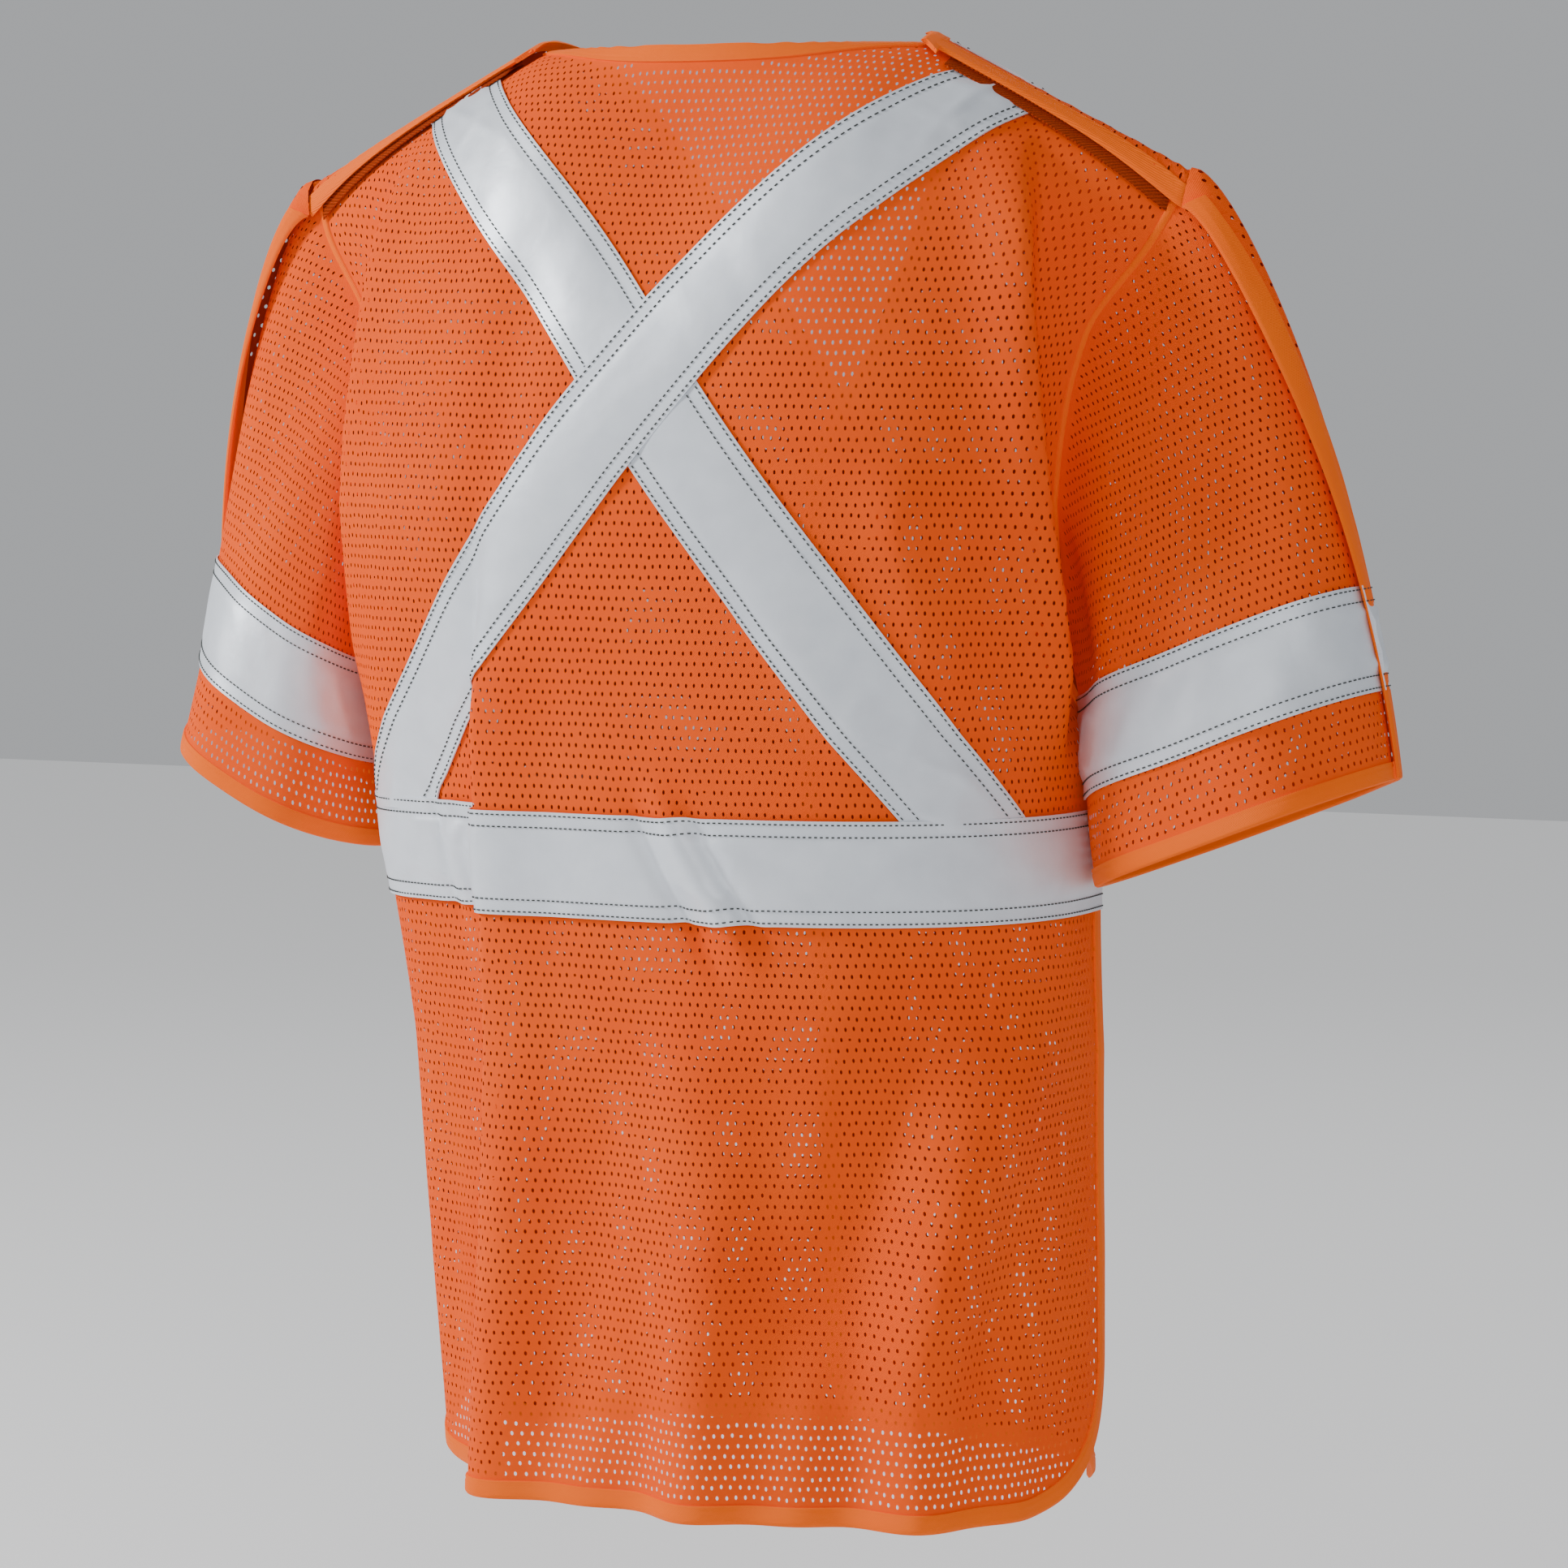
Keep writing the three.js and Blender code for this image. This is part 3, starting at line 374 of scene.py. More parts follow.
def lay_lap(form, side):
    """Lays the part of a front that passes the shoulder's ridge close on the back's cloth."""
    h = form.low[1] + form.step[1] * np.arange(form.points.shape[0])
    for j in range(form.points.shape[1]):
        a = form.low[0] + form.step[0] * j
        past = h - float(top_height(a, True))
        near = past > -LAP_BLEND
        if a < NECK_ACROSS - 12:
            continue
        down = float(top_height(a, False)) - np.maximum(past[near], 0)
        gap = mix(SHOULDER_STEP, LAP_GAP, ease(past[near] / 12))
        on_back = BACK.at(np.full_like(down, side * a), down, gap)
        share = ease((past[near] + LAP_BLEND) / LAP_BLEND)[:, None]
        form.points[near, j] = mix(form.points[near, j], on_back, share)
    return form


FRONTS = {side: lay_lap(torso_form(True, side), side) for side, _ in SIDES}
print("form grids", BACK.points.shape, FRONTS[1].points.shape)

# %% [markdown]
# ## Outlines of the pattern
# Each outline gives the distance across of an edge at a height, just as a pattern cutter would
# measure it from the centre line.

# %% Edges
SIDE_HEIGHTS = np.arange(HEM - 12, UNDERARM + 14, 2.0)
QUARTERS = {f: np.array([quarter(h, f) for h in SIDE_HEIGHTS]) for f in (False, True)}


def side_edge(height, front):
    past = -SIDE_PAST if front else SIDE_PAST
    edge = np.interp(height, SIDE_HEIGHTS, QUARTERS[front]) + past
    if front:
        edge = edge + mix(-SIDE_CLEAR, SIDE_LAP, ease((UNDERARM - SIDE_OPEN - height) / SIDE_FLARE))
    return edge


def corner_cut(height, radius, inset):
    below = HEM + radius - height
    r = radius - inset
    return np.where(below > 0, r - np.sqrt(np.maximum(0, r * r - below * below)), 0)


def armhole(t, front):
    low = side_edge(UNDERARM, front)
    across = mix(low, TIP_ACROSS, t) - ARMHOLE_SCOOP * np.sin(math.pi * t)
    return across, mix(UNDERARM, TIP_HEIGHT[front], t)


def outer_edge(height, front, inset=0):
    t = (height - UNDERARM) / (TIP_HEIGHT[front] - UNDERARM)
    side = side_edge(height, front) - inset - corner_cut(height, HEM_CORNER, inset)
    return np.where(height < UNDERARM, side, armhole(np.clip(t, 0, 1), front)[0])


FRONT_NECK = float(top_height(NECK_ACROSS, True))


def inner_edge(height, inset=0):
    t = np.clip((height - V_BOTTOM) / (FRONT_NECK - V_BOTTOM), 0, 1)
    v_neck = mix(-LAP_HALF, NECK_ACROSS, t) + V_BOW * np.sin(math.pi * t)
    edge = np.where(height > V_BOTTOM, v_neck, -LAP_HALF)
    return edge + inset + corner_cut(height, CENTRE_CORNER, inset)


def front_top(across):
    return top_height(across, True) + SHOULDER_LAP


print("side edges at the hem", side_edge(HEM, False).round(), side_edge(HEM, True).round())

# %% [markdown]
# ## Sleeves
# A sleeve leaves the armhole sideways and falls to a hem that hangs as a flattened hoop. Each half
# is a fan of curves from the settled armhole to that hoop, with lengths measured up from the hem.

# %% Sleeve forms
TOP_START, UNDER_START, SLEEVE_END = (80, -8), (40, -26), (30, -95)
OVERLAP, HEM_OVERLAP = 0.047, 0.018  # share of the round by which a front half laps the back half


def sleeve_push(s, w, front):
    cap = 11 * np.exp(-((s / 0.3) ** 2)) * np.sin(math.pi * np.clip(w, 0, 1)) ** 0.8
    lap = 2.6 * ease((0.2 - s) / 0.16) if front else 0
    low = ease((0.9 - w) / 0.3)
    folds = 2.2 * np.sin(9.5 * s + 3 * w + 0.4) * np.sin(math.pi * np.clip(w, 0, 1))
    folds = folds + low * 1.8 * np.sin(17 * s + 2)
    arm = -7 * np.exp(-(((s - 0.62 - 0.25 * w) / 0.09) ** 2)) * ease((w - 0.25) / 0.4)
    return cap + lap + (folds + arm) * np.sin(math.pi * np.clip(s, 0, 1))


print("lap over the arm", OVERLAP * ARMHOLE_ROUND, "and at the hem", HEM_OVERLAP * HEM_ROUND)

# %% [markdown]
# Each curve of the fan is a Hermite curve. It is given by where it starts and ends and by how it
# sets off and arrives, which is just what a seam and a hanging hem fix.

# %% The sleeves' fans
class Sleeve:
    """A sleeve's half: flat places are the distance round from the top of the arm, and up."""

    def __init__(self, side, front):
        low = -2 * OVERLAP if front else 0.0
        s = np.linspace(low, 1, 81)
        t = np.linspace(0, 1, 61)[:, None, None]
        across, height = armhole(1 - np.maximum(s, 0), front)
        height = height + ARMHOLE_ROUND * np.maximum(-s, 0)
        torso = FRONTS[side] if front else BACK
        start = torso.at(across if front else side * across, height)
        angle = mix(HEM_TURN[side] if front else -HEM_TURN[side], math.pi, s)
        depth = (-1 if front else 1) * HEM_HALF_DEPTH * np.sin(angle)
        outer = (1 + np.cos(angle)) / 2
        hem_x, hem_z = (mix(i, o, outer) for i, o in zip(HEM_IN[side], HEM_OUT[side]))
        end = np.stack([side * hem_x, depth, hem_z], -1)
        inside = np.clip(s, 0, 1)
        leave_x = side * mix(TOP_START[0], UNDER_START[0], inside)
        leave = np.stack([leave_x, 0 * s, mix(TOP_START[1], UNDER_START[1], inside)], -1)
        arrive = np.array([side * SLEEVE_END[0], 0, SLEEVE_END[1]])
        curves = (
            start * (2 * t**3 - 3 * t**2 + 1)
            + leave * (t**3 - 2 * t**2 + t)
            + end * (3 * t**2 - 2 * t**3)
            + arrive * (t**3 - t**2)
        )[::-1]
        steps = np.linalg.norm(np.diff(curves, axis=0), axis=-1)
        lengths = np.concatenate([np.zeros((1, len(s))), np.cumsum(steps, axis=0)])
        w = np.linspace(0, 1, 91)
        points = np.zeros((len(w), len(s), 3))
        for j in range(len(s)):
            for k in range(3):
                points[:, j, k] = np.interp(w * lengths[-1, j], lengths[:, j], curves[:, j, k])
        grid_w, grid_s = np.meshgrid(w, s, indexing="ij")
        outward = -side if front else side
        self.form = Form(points, outward, (low, 0.0), (s[1] - s[0], w[1] - w[0]))
        self.form.settle(sleeve_push(grid_s, grid_w, front), sway=False)
        self.shares, self.lengths, self.front = s, lengths[-1], front

    def length(self, s):
        return np.interp(s, self.shares, self.lengths)

    def start(self, up):
        share = mix(HEM_OVERLAP, OVERLAP, np.clip(up / self.lengths[0], 0, 1))
        return -share if self.front else 0 * share

    def round_half(self, up):
        return mix(HEM_ROUND, ARMHOLE_ROUND, np.clip(up / self.lengths[0], 0, 1.2))

    def at(self, b, up, layer=0.0):
        s = b / self.round_half(up)
        return self.form.at(s, up / self.length(s), layer)


SLEEVES = {(side, front): Sleeve(side, front) for side, _ in SIDES for front in (False, True)}
print("sleeve lengths over the arm and under it", SLEEVES[1, False].lengths[[0, -1]].round())

# %% [markdown]
# ## Finishes
# Four cloths make up the vest, and each has its own small pattern: the knit's loops, the twill's
# diagonal ribs, the tape's glass beads, whose sparkle is painted into its colour, and the nap of
# hook and loop. Each pattern is a node group that reads the flat UV map, which is in metres of
# cloth, so that its grain follows the cloth round every fold. The shader stays in the material,
# where its plain values are set.

# %% Node helpers
def node(tree, kind, **settings):
    made = tree.nodes.new(kind)
    for name, value in settings.items():
        setattr(made, name, value)
    return made


def maths(tree, operation, first, second=None):
    made = node(tree, "ShaderNodeMath", operation=operation)
    for k, value in enumerate((first, second)):
        if value is None:
            continue
        if isinstance(value, (int, float)):
            made.inputs[k].default_value = value
        else:
            tree.links.new(value, made.inputs[k])
    return made.outputs[0]


def weighted(tree, first, first_share, second, second_share):
    first = maths(tree, "MULTIPLY", first, first_share)
    return maths(tree, "ADD", first, maths(tree, "MULTIPLY", second, second_share))


def noise(tree, vector, scale, detail=2.0):
    made = node(tree, "ShaderNodeTexNoise")
    made.inputs["Scale"].default_value = scale
    made.inputs["Detail"].default_value = detail
    tree.links.new(vector, made.inputs["Vector"])
    return made.outputs["Fac"]


def blend_colours(tree, factor, first, second):
    made = node(tree, "ShaderNodeMix", data_type="RGBA")
    tree.links.new(factor, made.inputs["Factor"])
    tree.links.new(first, made.inputs[6])
    tree.links.new(second, made.inputs[7])
    return made.outputs[2]


PATTERN_SOCKETS = (
    ("Flat", "INPUT", "NodeSocketVector"),
    ("Tone", "INPUT", "NodeSocketColor"),
    ("Deep", "INPUT", "NodeSocketColor"),
    ("Colour", "OUTPUT", "NodeSocketColor"),
    ("Roughness", "OUTPUT", "NodeSocketFloat"),
    ("Height", "OUTPUT", "NodeSocketFloat"),
)


def new_group(name):
    """A cloth pattern: flat place and two tones in, and colour, roughness and height out."""
    tree = bpy.data.node_groups.new(name, "ShaderNodeTree")
    for socket, way, kind in PATTERN_SOCKETS:
        tree.interface.new_socket(name=socket, in_out=way, socket_type=kind)
    start, end = node(tree, "NodeGroupInput"), node(tree, "NodeGroupOutput")
    split = node(tree, "ShaderNodeSeparateXYZ")
    tree.links.new(start.outputs["Flat"], split.inputs[0])
    return tree, start, end, split


def finish_group(tree, start, end, factor, roughness, height):
    colour = blend_colours(tree, factor, start.outputs["Tone"], start.outputs["Deep"])
    tree.links.new(colour, end.inputs["Colour"])
    tree.links.new(roughness, end.inputs["Roughness"])
    tree.links.new(height, end.inputs["Height"])
    return tree


def wave(tree, place, millimetres, phase=None):
    turns = maths(tree, "MULTIPLY", place, 2000 * math.pi / millimetres)
    if phase is not None:
        turns = maths(tree, "ADD", turns, phase)
    return maths(tree, "SINE", turns)


print("sockets of a pattern", [socket for socket, _, _ in PATTERN_SOCKETS])

# %% [markdown]
# Seen close, knitted loops are short waves in two directions, a twill's ribs are one wave that runs
# aslant, reflective tape is a fine scatter of beads over a pressed weave, and the nap of loop
# tape is plain fuzz. A noise bends each wave a little, because yarn is never quite even. On the
# knit and the twill a broad noise stands for handling and wear; on the tape it is painted shade,
# greying the tape over its puckers, and the beads' speckle in its colour is painted sparkle.

# %% Pattern groups
def knit_pattern():
    tree, start, end, split = new_group("knit_loops")
    u, v = split.outputs["X"], split.outputs["Y"]
    drift = maths(tree, "MULTIPLY", noise(tree, start.outputs["Flat"], 900), 5.0)
    loops = maths(tree, "MULTIPLY", wave(tree, u, 1.04, drift), wave(tree, v, 0.85, drift))
    soil = noise(tree, start.outputs["Flat"], 14, 3)
    grain = noise(tree, start.outputs["Flat"], 2600, 1)
    factor = weighted(tree, loops, 0.14, soil, 0.5)
    factor = maths(tree, "ADD", factor, maths(tree, "MULTIPLY", grain, 0.22))
    rough = maths(tree, "ADD", maths(tree, "MULTIPLY", soil, 0.14), 0.68)
    height = maths(tree, "ADD", loops, grain)
    return finish_group(tree, start, end, maths(tree, "SUBTRACT", factor, 0.12), rough, height)


def twill_pattern():
    tree, start, end, split = new_group("twill_ribs")
    u, v = split.outputs["X"], split.outputs["Y"]
    drift = maths(tree, "MULTIPLY", noise(tree, start.outputs["Flat"], 500), 3.0)
    ribs = wave(tree, maths(tree, "ADD", u, v), 0.95, drift)
    soil = noise(tree, start.outputs["Flat"], 25, 3)
    factor = weighted(tree, ribs, 0.16, soil, 0.45)
    rough = maths(tree, "ADD", maths(tree, "MULTIPLY", ribs, 0.05), 0.6)
    return finish_group(tree, start, end, factor, rough, ribs)


def bead_pattern():
    tree, start, end, split = new_group("glass_beads")
    # beads: a fine speckle whose roughness and height are the beads' own; in colour it is painted
    # sparkle
    beads = noise(tree, start.outputs["Flat"], 5200, 1)
    # painted shade: a broad noise greys the tape over its puckers, and raises those puckers too
    puckers_and_shade = noise(tree, start.outputs["Flat"], 60, 4)
    weave = maths(
        tree, "MULTIPLY", wave(tree, split.outputs["X"], 0.7), wave(tree, split.outputs["Y"], 0.7)
    )
    factor = weighted(tree, beads, 0.5, puckers_and_shade, 0.4)
    rough = maths(tree, "ADD", maths(tree, "MULTIPLY", beads, 0.22), 0.3)
    puckers = maths(tree, "MULTIPLY", puckers_and_shade, 9.0)
    pressed = maths(tree, "MULTIPLY", weave, 0.25)
    height = maths(tree, "ADD", pressed, maths(tree, "ADD", puckers, beads))
    return finish_group(tree, start, end, maths(tree, "SUBTRACT", factor, 0.15), rough, height)


def nap_pattern():
    tree, start, end, split = new_group("hook_nap")
    fuzz = noise(tree, start.outputs["Flat"], 1500, 3)
    rows = wave(tree, split.outputs["Y"], 1.6, maths(tree, "MULTIPLY", fuzz, 2.0))
    factor = weighted(tree, fuzz, 0.9, rows, 0.15)
    rough = maths(tree, "ADD", maths(tree, "MULTIPLY", fuzz, 0.1), 0.85)
    return finish_group(tree, start, end, factor, rough, maths(tree, "ADD", fuzz, rows))


PATTERNS = {
    "knit": knit_pattern(),
    "twill": twill_pattern(),
    "beads": bead_pattern(),
    "nap": nap_pattern(),
}
print("patterns", sorted(PATTERNS))

# %% [markdown]
# High visibility orange is a saturated dye that fluoresces, and its fluorescence is painted on as a
# small emission of the cloth's own colour, which also lifts the orange where the cloth is in shade.
# A cloth shines little, so its specular level is low. The tape is the one finish with some metal in
# it. The mesh is one layer with two faces, and its inner face lies in the vest's own shade, so the
# material paints that shade on, darkening the colour wherever the back of a face is seen.

# %% Materials
def finish(name, pattern, tone, deep, bump, depth_mm, metallic=0.0, glow=0.0, inner=None):
    made = bpy.data.materials.new(name)
    made.use_nodes = True
    tree = made.node_tree
    shader = tree.nodes["Principled BSDF"]
    group = node(tree, "ShaderNodeGroup", node_tree=PATTERNS[pattern])
    flat = node(tree, "ShaderNodeUVMap", uv_map="flat")
    tree.links.new(flat.outputs[0], group.inputs["Flat"])
    group.inputs["Tone"].default_value = (*tone, 1)
    group.inputs["Deep"].default_value = (*deep, 1)
    raised = node(tree, "ShaderNodeBump")
    raised.inputs["Strength"].default_value = bump
    raised.inputs["Distance"].default_value = depth_mm * MM
    tree.links.new(group.outputs["Height"], raised.inputs["Height"])
    tree.links.new(raised.outputs[0], shader.inputs["Normal"])
    colour = group.outputs["Colour"]
    # painted shade: the inner face is darkened, since it lies in the vest's own shade
    if inner:
        side_seen = node(tree, "ShaderNodeNewGeometry").outputs["Backfacing"]
        dull = node(tree, "ShaderNodeMix", data_type="RGBA", blend_type="MULTIPLY")
        tree.links.new(side_seen, dull.inputs["Factor"])
        tree.links.new(colour, dull.inputs[6])
        dull.inputs[7].default_value = (*inner, 1)
        colour = dull.outputs[2]
    tree.links.new(colour, shader.inputs["Base Color"])
    tree.links.new(group.outputs["Roughness"], shader.inputs["Roughness"])
    shader.inputs["Metallic"].default_value = metallic
    shader.inputs["Specular IOR Level"].default_value = 0.5 if metallic else 0.12
    # painted light: a small emission of the cloth's own colour stands in for the dye's fluorescence
    # and lifts its shade
    if glow:
        tree.links.new(colour, shader.inputs["Emission Color"])
        shader.inputs["Emission Strength"].default_value = glow
    return made


MESH_TONES = (1.0, 0.115, 0.0), (0.80, 0.035, 0.0)  # each pair is a cloth's tone and its deep tone
TRIM_TONES = (1.0, 0.16, 0.001), (0.86, 0.08, 0.0)
# the tape's deep grey is painted: shade over its puckers and sparkle among its beads
TAPE_TONES = (0.87, 0.91, 0.97), (0.46, 0.50, 0.56)
NAP_TONES = (0.60, 0.06, 0.003), (0.10, 0.01, 0.002)
THREAD_TONES = (0.05, 0.055, 0.05), (0.09, 0.095, 0.095)
ORANGE_TONES = (0.85, 0.06, 0.001), (0.6, 0.03, 0.001)
# painted shade of the vest's inside, laid on the mesh's inner face
MESH_INNER_SHADE = (0.48, 0.27, 0.35)  # multiplies the mesh's colour on its inner face

MESH_LOOK = finish("orange_mesh", "knit", *MESH_TONES, 0.5, 0.25, glow=0.04, inner=MESH_INNER_SHADE)
TRIM_LOOK = finish("orange_twill", "twill", *TRIM_TONES, 0.5, 0.25, glow=0.08)
TAPE_LOOK = finish("silver_tape", "beads", *TAPE_TONES, 0.5, 0.07, metallic=0.25)
NAP_LOOK = finish("orange_nap", "nap", *NAP_TONES, 0.9, 0.5)
THREAD_LOOK = finish("grey_thread", "twill", *THREAD_TONES, 0.3, 0.1)
ORANGE_THREAD = finish("orange_thread", "twill", *ORANGE_TONES, 0.3, 0.1)
print("materials", len(bpy.data.materials))

# %% [markdown]
# ## Dressing the form
# dress() takes a piece that was made flat, keeps its flat places as UV maps, and moves every
# vertex to the settled surface. The grid operators face the flat cloth's outer side up, so a form
# whose flat places are mirrored turns the faces over.

# %% Dress
WORN = "worn_"  # starts each piece's name, since the solids have the plain ones


def flat_places(bm):
    return np.array([v.co[:] for v in bm.verts])


def add_uvs(mesh, flat):
    """The flat place in metres, and the same place fitted to a square for baking."""
    corner = np.zeros(len(mesh.loops), int)
    mesh.loops.foreach_get("vertex_index", corner)
    low, high = flat[:, :2].min(0), flat[:, :2].max(0)
    under = np.zeros(len(mesh.loops))
    for polygon in mesh.polygons:
        if polygon.normal.z < -0.3:
            under[polygon.loop_start : polygon.loop_start + polygon.loop_total] = 1
    two_sided = bool(under.any())
    square = (flat[corner, :2] - low) / (high - low).max()
    square = square * 0.98 + 0.01
    if two_sided:
        square[:, 0] = (square[:, 0] + under) / 2
    layers = (("flat", flat[corner, :2] * MM), ("OFBake", square))
    for name, values in layers:
        mesh.uv_layers.new(name=name).data.foreach_set("uv", values.astype(np.float32).ravel())
    mesh.uv_layers.active = mesh.uv_layers["OFBake"]


def outward_of(form):
    return form.form.outward if isinstance(form, Sleeve) else form.outward


def dress(bm, name, form, look, closed=True):
    if closed:
        bmesh.ops.recalc_face_normals(bm, faces=bm.faces[:])
    flat = flat_places(bm)
    mesh = bpy.data.meshes.new(name)
    bm.to_mesh(mesh)
    bm.free()
    mesh.polygons.foreach_set("use_smooth", [True] * len(mesh.polygons))
    add_uvs(mesh, flat)
    places = form.at(flat[:, 0], flat[:, 1], flat[:, 2]) * MM
    mesh.vertices.foreach_set("co", places.astype(np.float32).ravel())
    if outward_of(form) < 0:
        mesh.flip_normals()
    mesh.set_sharp_from_angle(angle=math.radians(50))
    mesh.update()
    made = bpy.data.objects.new(WORN + name, mesh)
    bpy.context.scene.collection.objects.link(made)
    made.data.materials.append(look)
    triangles = sum(len(p.vertices) - 2 for p in mesh.polygons)
    print(f"{name}: {triangles} triangles")
    return made


def flat_grid(bm, cols, rows, place):
    """A grid whose unit square is placed on the flat cloth."""
    verts = bmesh.ops.create_grid(bm, x_segments=cols, y_segments=rows, size=0.5)["verts"]
    unit = np.array([v.co[:2] for v in verts]) + 0.5
    a, h = place(unit[:, 0], unit[:, 1])
    for v, x, y in zip(verts, a, h):
        v.co = (x, y, 0)
    return verts


print("pieces are named", WORN + "...")

# %% [markdown]
# ## The mesh cloth
# The knit has rows of upright oval holes, each row half a pitch along from the next. Holes that
# were only drawn in the material would look flat from the side, so these are real openings. A
# grid of half bricks has every other upright edge dissolved, which leaves bricks with six corners
# in staggered rows. Each brick is inset, its inner face is drawn in to an oval, and that face is
# deleted.

# %% Knit
HOLE_PITCH, ROW_PITCH = 4.15, 5.1
HOLE_WIDTH, HOLE_HEIGHT = 1.1, 2.3


def knit_cells(bm, low, high, inside):
    """Staggered bricks over a box of flat cloth, wherever some corner lies inside the outline."""
    half = HOLE_PITCH / 2
    cols = math.ceil((high[0] - low[0]) / half)
    rows = math.ceil((high[1] - low[1]) / ROW_PITCH)

    def place(u, v):
        return low[0] + u * cols * half, low[1] + v * rows * ROW_PITCH

    flat_grid(bm, cols, rows, place)
    places = flat_places(bm)
    kept = inside(places[:, 0], places[:, 1])
    bm.verts.index_update()
    spare = [f for f in bm.faces if not any(kept[v.index] for v in f.verts)]
    bmesh.ops.delete(bm, geom=spare, context="FACES")
    seams = []
    for edge in bm.edges:
        start, end = edge.verts[0].co, edge.verts[1].co
        if abs(start.x - end.x) < 0.1 and len(edge.link_faces) == 2:
            col = round((start.x - low[0]) / half)
            row = round((min(start.y, end.y) - low[1]) / ROW_PITCH)
            if (col + row) % 2:
                seams.append(edge)
    bmesh.ops.dissolve_edges(bm, edges=seams, use_verts=False, use_face_split=False)


def pierce(bm, open_place):
    """Opens an oval hole in each whole brick whose middle is at an open place."""
    bricks = [f for f in bm.faces if len(f.verts) == 6]
    middles = np.array([f.calc_center_median()[:2] for f in bricks])
    wanted = open_place(middles[:, 0], middles[:, 1])
    bricks = [f for f, ok in zip(bricks, wanted) if ok]
    bmesh.ops.inset_individual(bm, faces=bricks, thickness=0.5, use_even_offset=False)
    rng = np.random.default_rng(7)
    for face, (stray_a, stray_h) in zip(bricks, rng.normal(0, 1, (len(bricks), 2))):
        middle = face.calc_center_median()
        middle += Vector((0.2 * stray_a, 0.25 * stray_h, 0))
        for v in face.verts:
            across, up = v.co.x - middle.x, v.co.y - middle.y
            at_end = abs(across) < 0.5
            v.co.x = middle.x + (0 if at_end else math.copysign(HOLE_WIDTH / 2, across))
            v.co.y = middle.y + math.copysign(HOLE_HEIGHT / (2 if at_end else 4.2), up)
    bmesh.ops.delete(bm, geom=bricks, context="FACES_KEEP_BOUNDARY")
    return len(bricks)


print("one hole in", round(HOLE_PITCH * ROW_PITCH, 1), "mm2 of cloth")

# %% [markdown]
# A cut piece is knitted whole, then trimmed to its outline, and its holes are opened last, so
# that its area can be measured before there are holes in it.

# %% Cut a piece of knit
def worn_area(bm, form):
    """Area of the cloth once it is on the form."""
    flat = flat_places(bm)
    places = form.at(flat[:, 0], flat[:, 1], 0 * flat[:, 0]) * MM
    bm.verts.index_update()
    total = 0.0
    for face in bm.faces:
        p = places[[v.index for v in face.verts]]
        fan = (np.cross(p[k] - p[0], p[k + 1] - p[0]) for k in range(1, len(p) - 1))
        total += np.linalg.norm(sum(fan)) / 2
    return float(total)


def knit(name, form, low, high, inside, clamp, open_place):
    bm = bmesh.new()
    knit_cells(bm, low, high, inside)
    places = flat_places(bm)
    for v, x, y in zip(bm.verts, *clamp(places[:, 0], places[:, 1])):
        v.co.x, v.co.y = x, y
    sheared = isinstance(form, Sleeve)
    area = worn_area(bm, form) if sheared else sum(f.calc_area() for f in bm.faces) * MM * MM
    flat = flat_places(bm)
    size = (flat.max(0) - flat.min(0))[:2] * MM
    holes = pierce(bm, open_place)
    made = dress(bm, name, form, MESH_LOOK, closed=False)
    print(f"  {holes} holes, {size[0]:.3f} by {size[1]:.3f} m flat, {area:.4f} m2")
    return made, tuple(float(x) for x in size), area


print("rows of holes on the back", round((top_height(0, False) - HEM) / ROW_PITCH))

# %% [markdown]
# A hole can't be seen under tape or binding, and a sewn edge needs whole cloth to hold its
# stitches, so holes are opened only where the mesh is bare. The outline works on the same flat
# places. Bricks past it are dropped, and the ones that cross it are drawn back to it.

# %% Where holes are opened
def in_strap(a, h, side, margin):
    """Whether a place on the back lies under a strap."""
    fall = CROSS - BAND_TOP
    run = math.hypot(STRAP_REACH, fall)
    bow = STRAP_BOW * ease((h - CROSS) / 140) ** 2
    aside = ((a * side + bow) * fall + (h - CROSS) * STRAP_REACH) / run
    return (np.abs(aside) < TAPE_WIDTH / 2 - margin) & (h > BAND_TOP)


def in_band(h, margin, top=None):
    top = BAND_TOP if top is None else top
    return (h < top - margin) & (h > top - TAPE_WIDTH + margin)


def radial(x, y, cx, cy, r, side):
    """Draws places past a round corner back to it."""
    dx, dy = x - cx, y - cy
    far = np.hypot(dx, dy)
    outside = (dx * side > 0) & (dy < 0) & (far > r)
    k = np.where(outside, r / np.maximum(far, 1e-6), 1)
    return cx + dx * k, cy + dy * k


EDGE = 1.2  # the cloth stops this far inside its binding's outer edge


def back_inside(a, h):
    return (np.abs(a) < outer_edge(h, False, EDGE)) & (h > HEM + EDGE) & (h < top_height(a, False))


def back_clamp(a, h):
    side = np.sign(a)
    h = np.clip(h, HEM + EDGE, top_height(a, False))
    corner = side_edge(h, False) - HEM_CORNER
    b, h = radial(np.abs(a), h, corner, HEM + HEM_CORNER, HEM_CORNER - EDGE, 1)
    b = np.minimum(b, np.where(h > HEM + HEM_CORNER, outer_edge(h, False, EDGE), b))
    return side * b, np.minimum(h, top_height(b, False))


def back_open(a, h):
    covered = in_strap(a, h, 1, 3) | in_strap(a, h, -1, 3) | in_band(h, 3)
    inner = (np.abs(a) < outer_edge(h, False, 7)) & (h > HEM + 9) & (h < top_height(a, False) - 11)
    arm = np.abs(a) < outer_edge(h, False, 0) - 4
    return inner & arm & ~covered


print("cloth stops", EDGE, "mm inside the bound edge")

# %% [markdown]
# A front's outline has more parts: two round corners at the hem, the centre edge, the V neck and
# the lap that passes the shoulder.

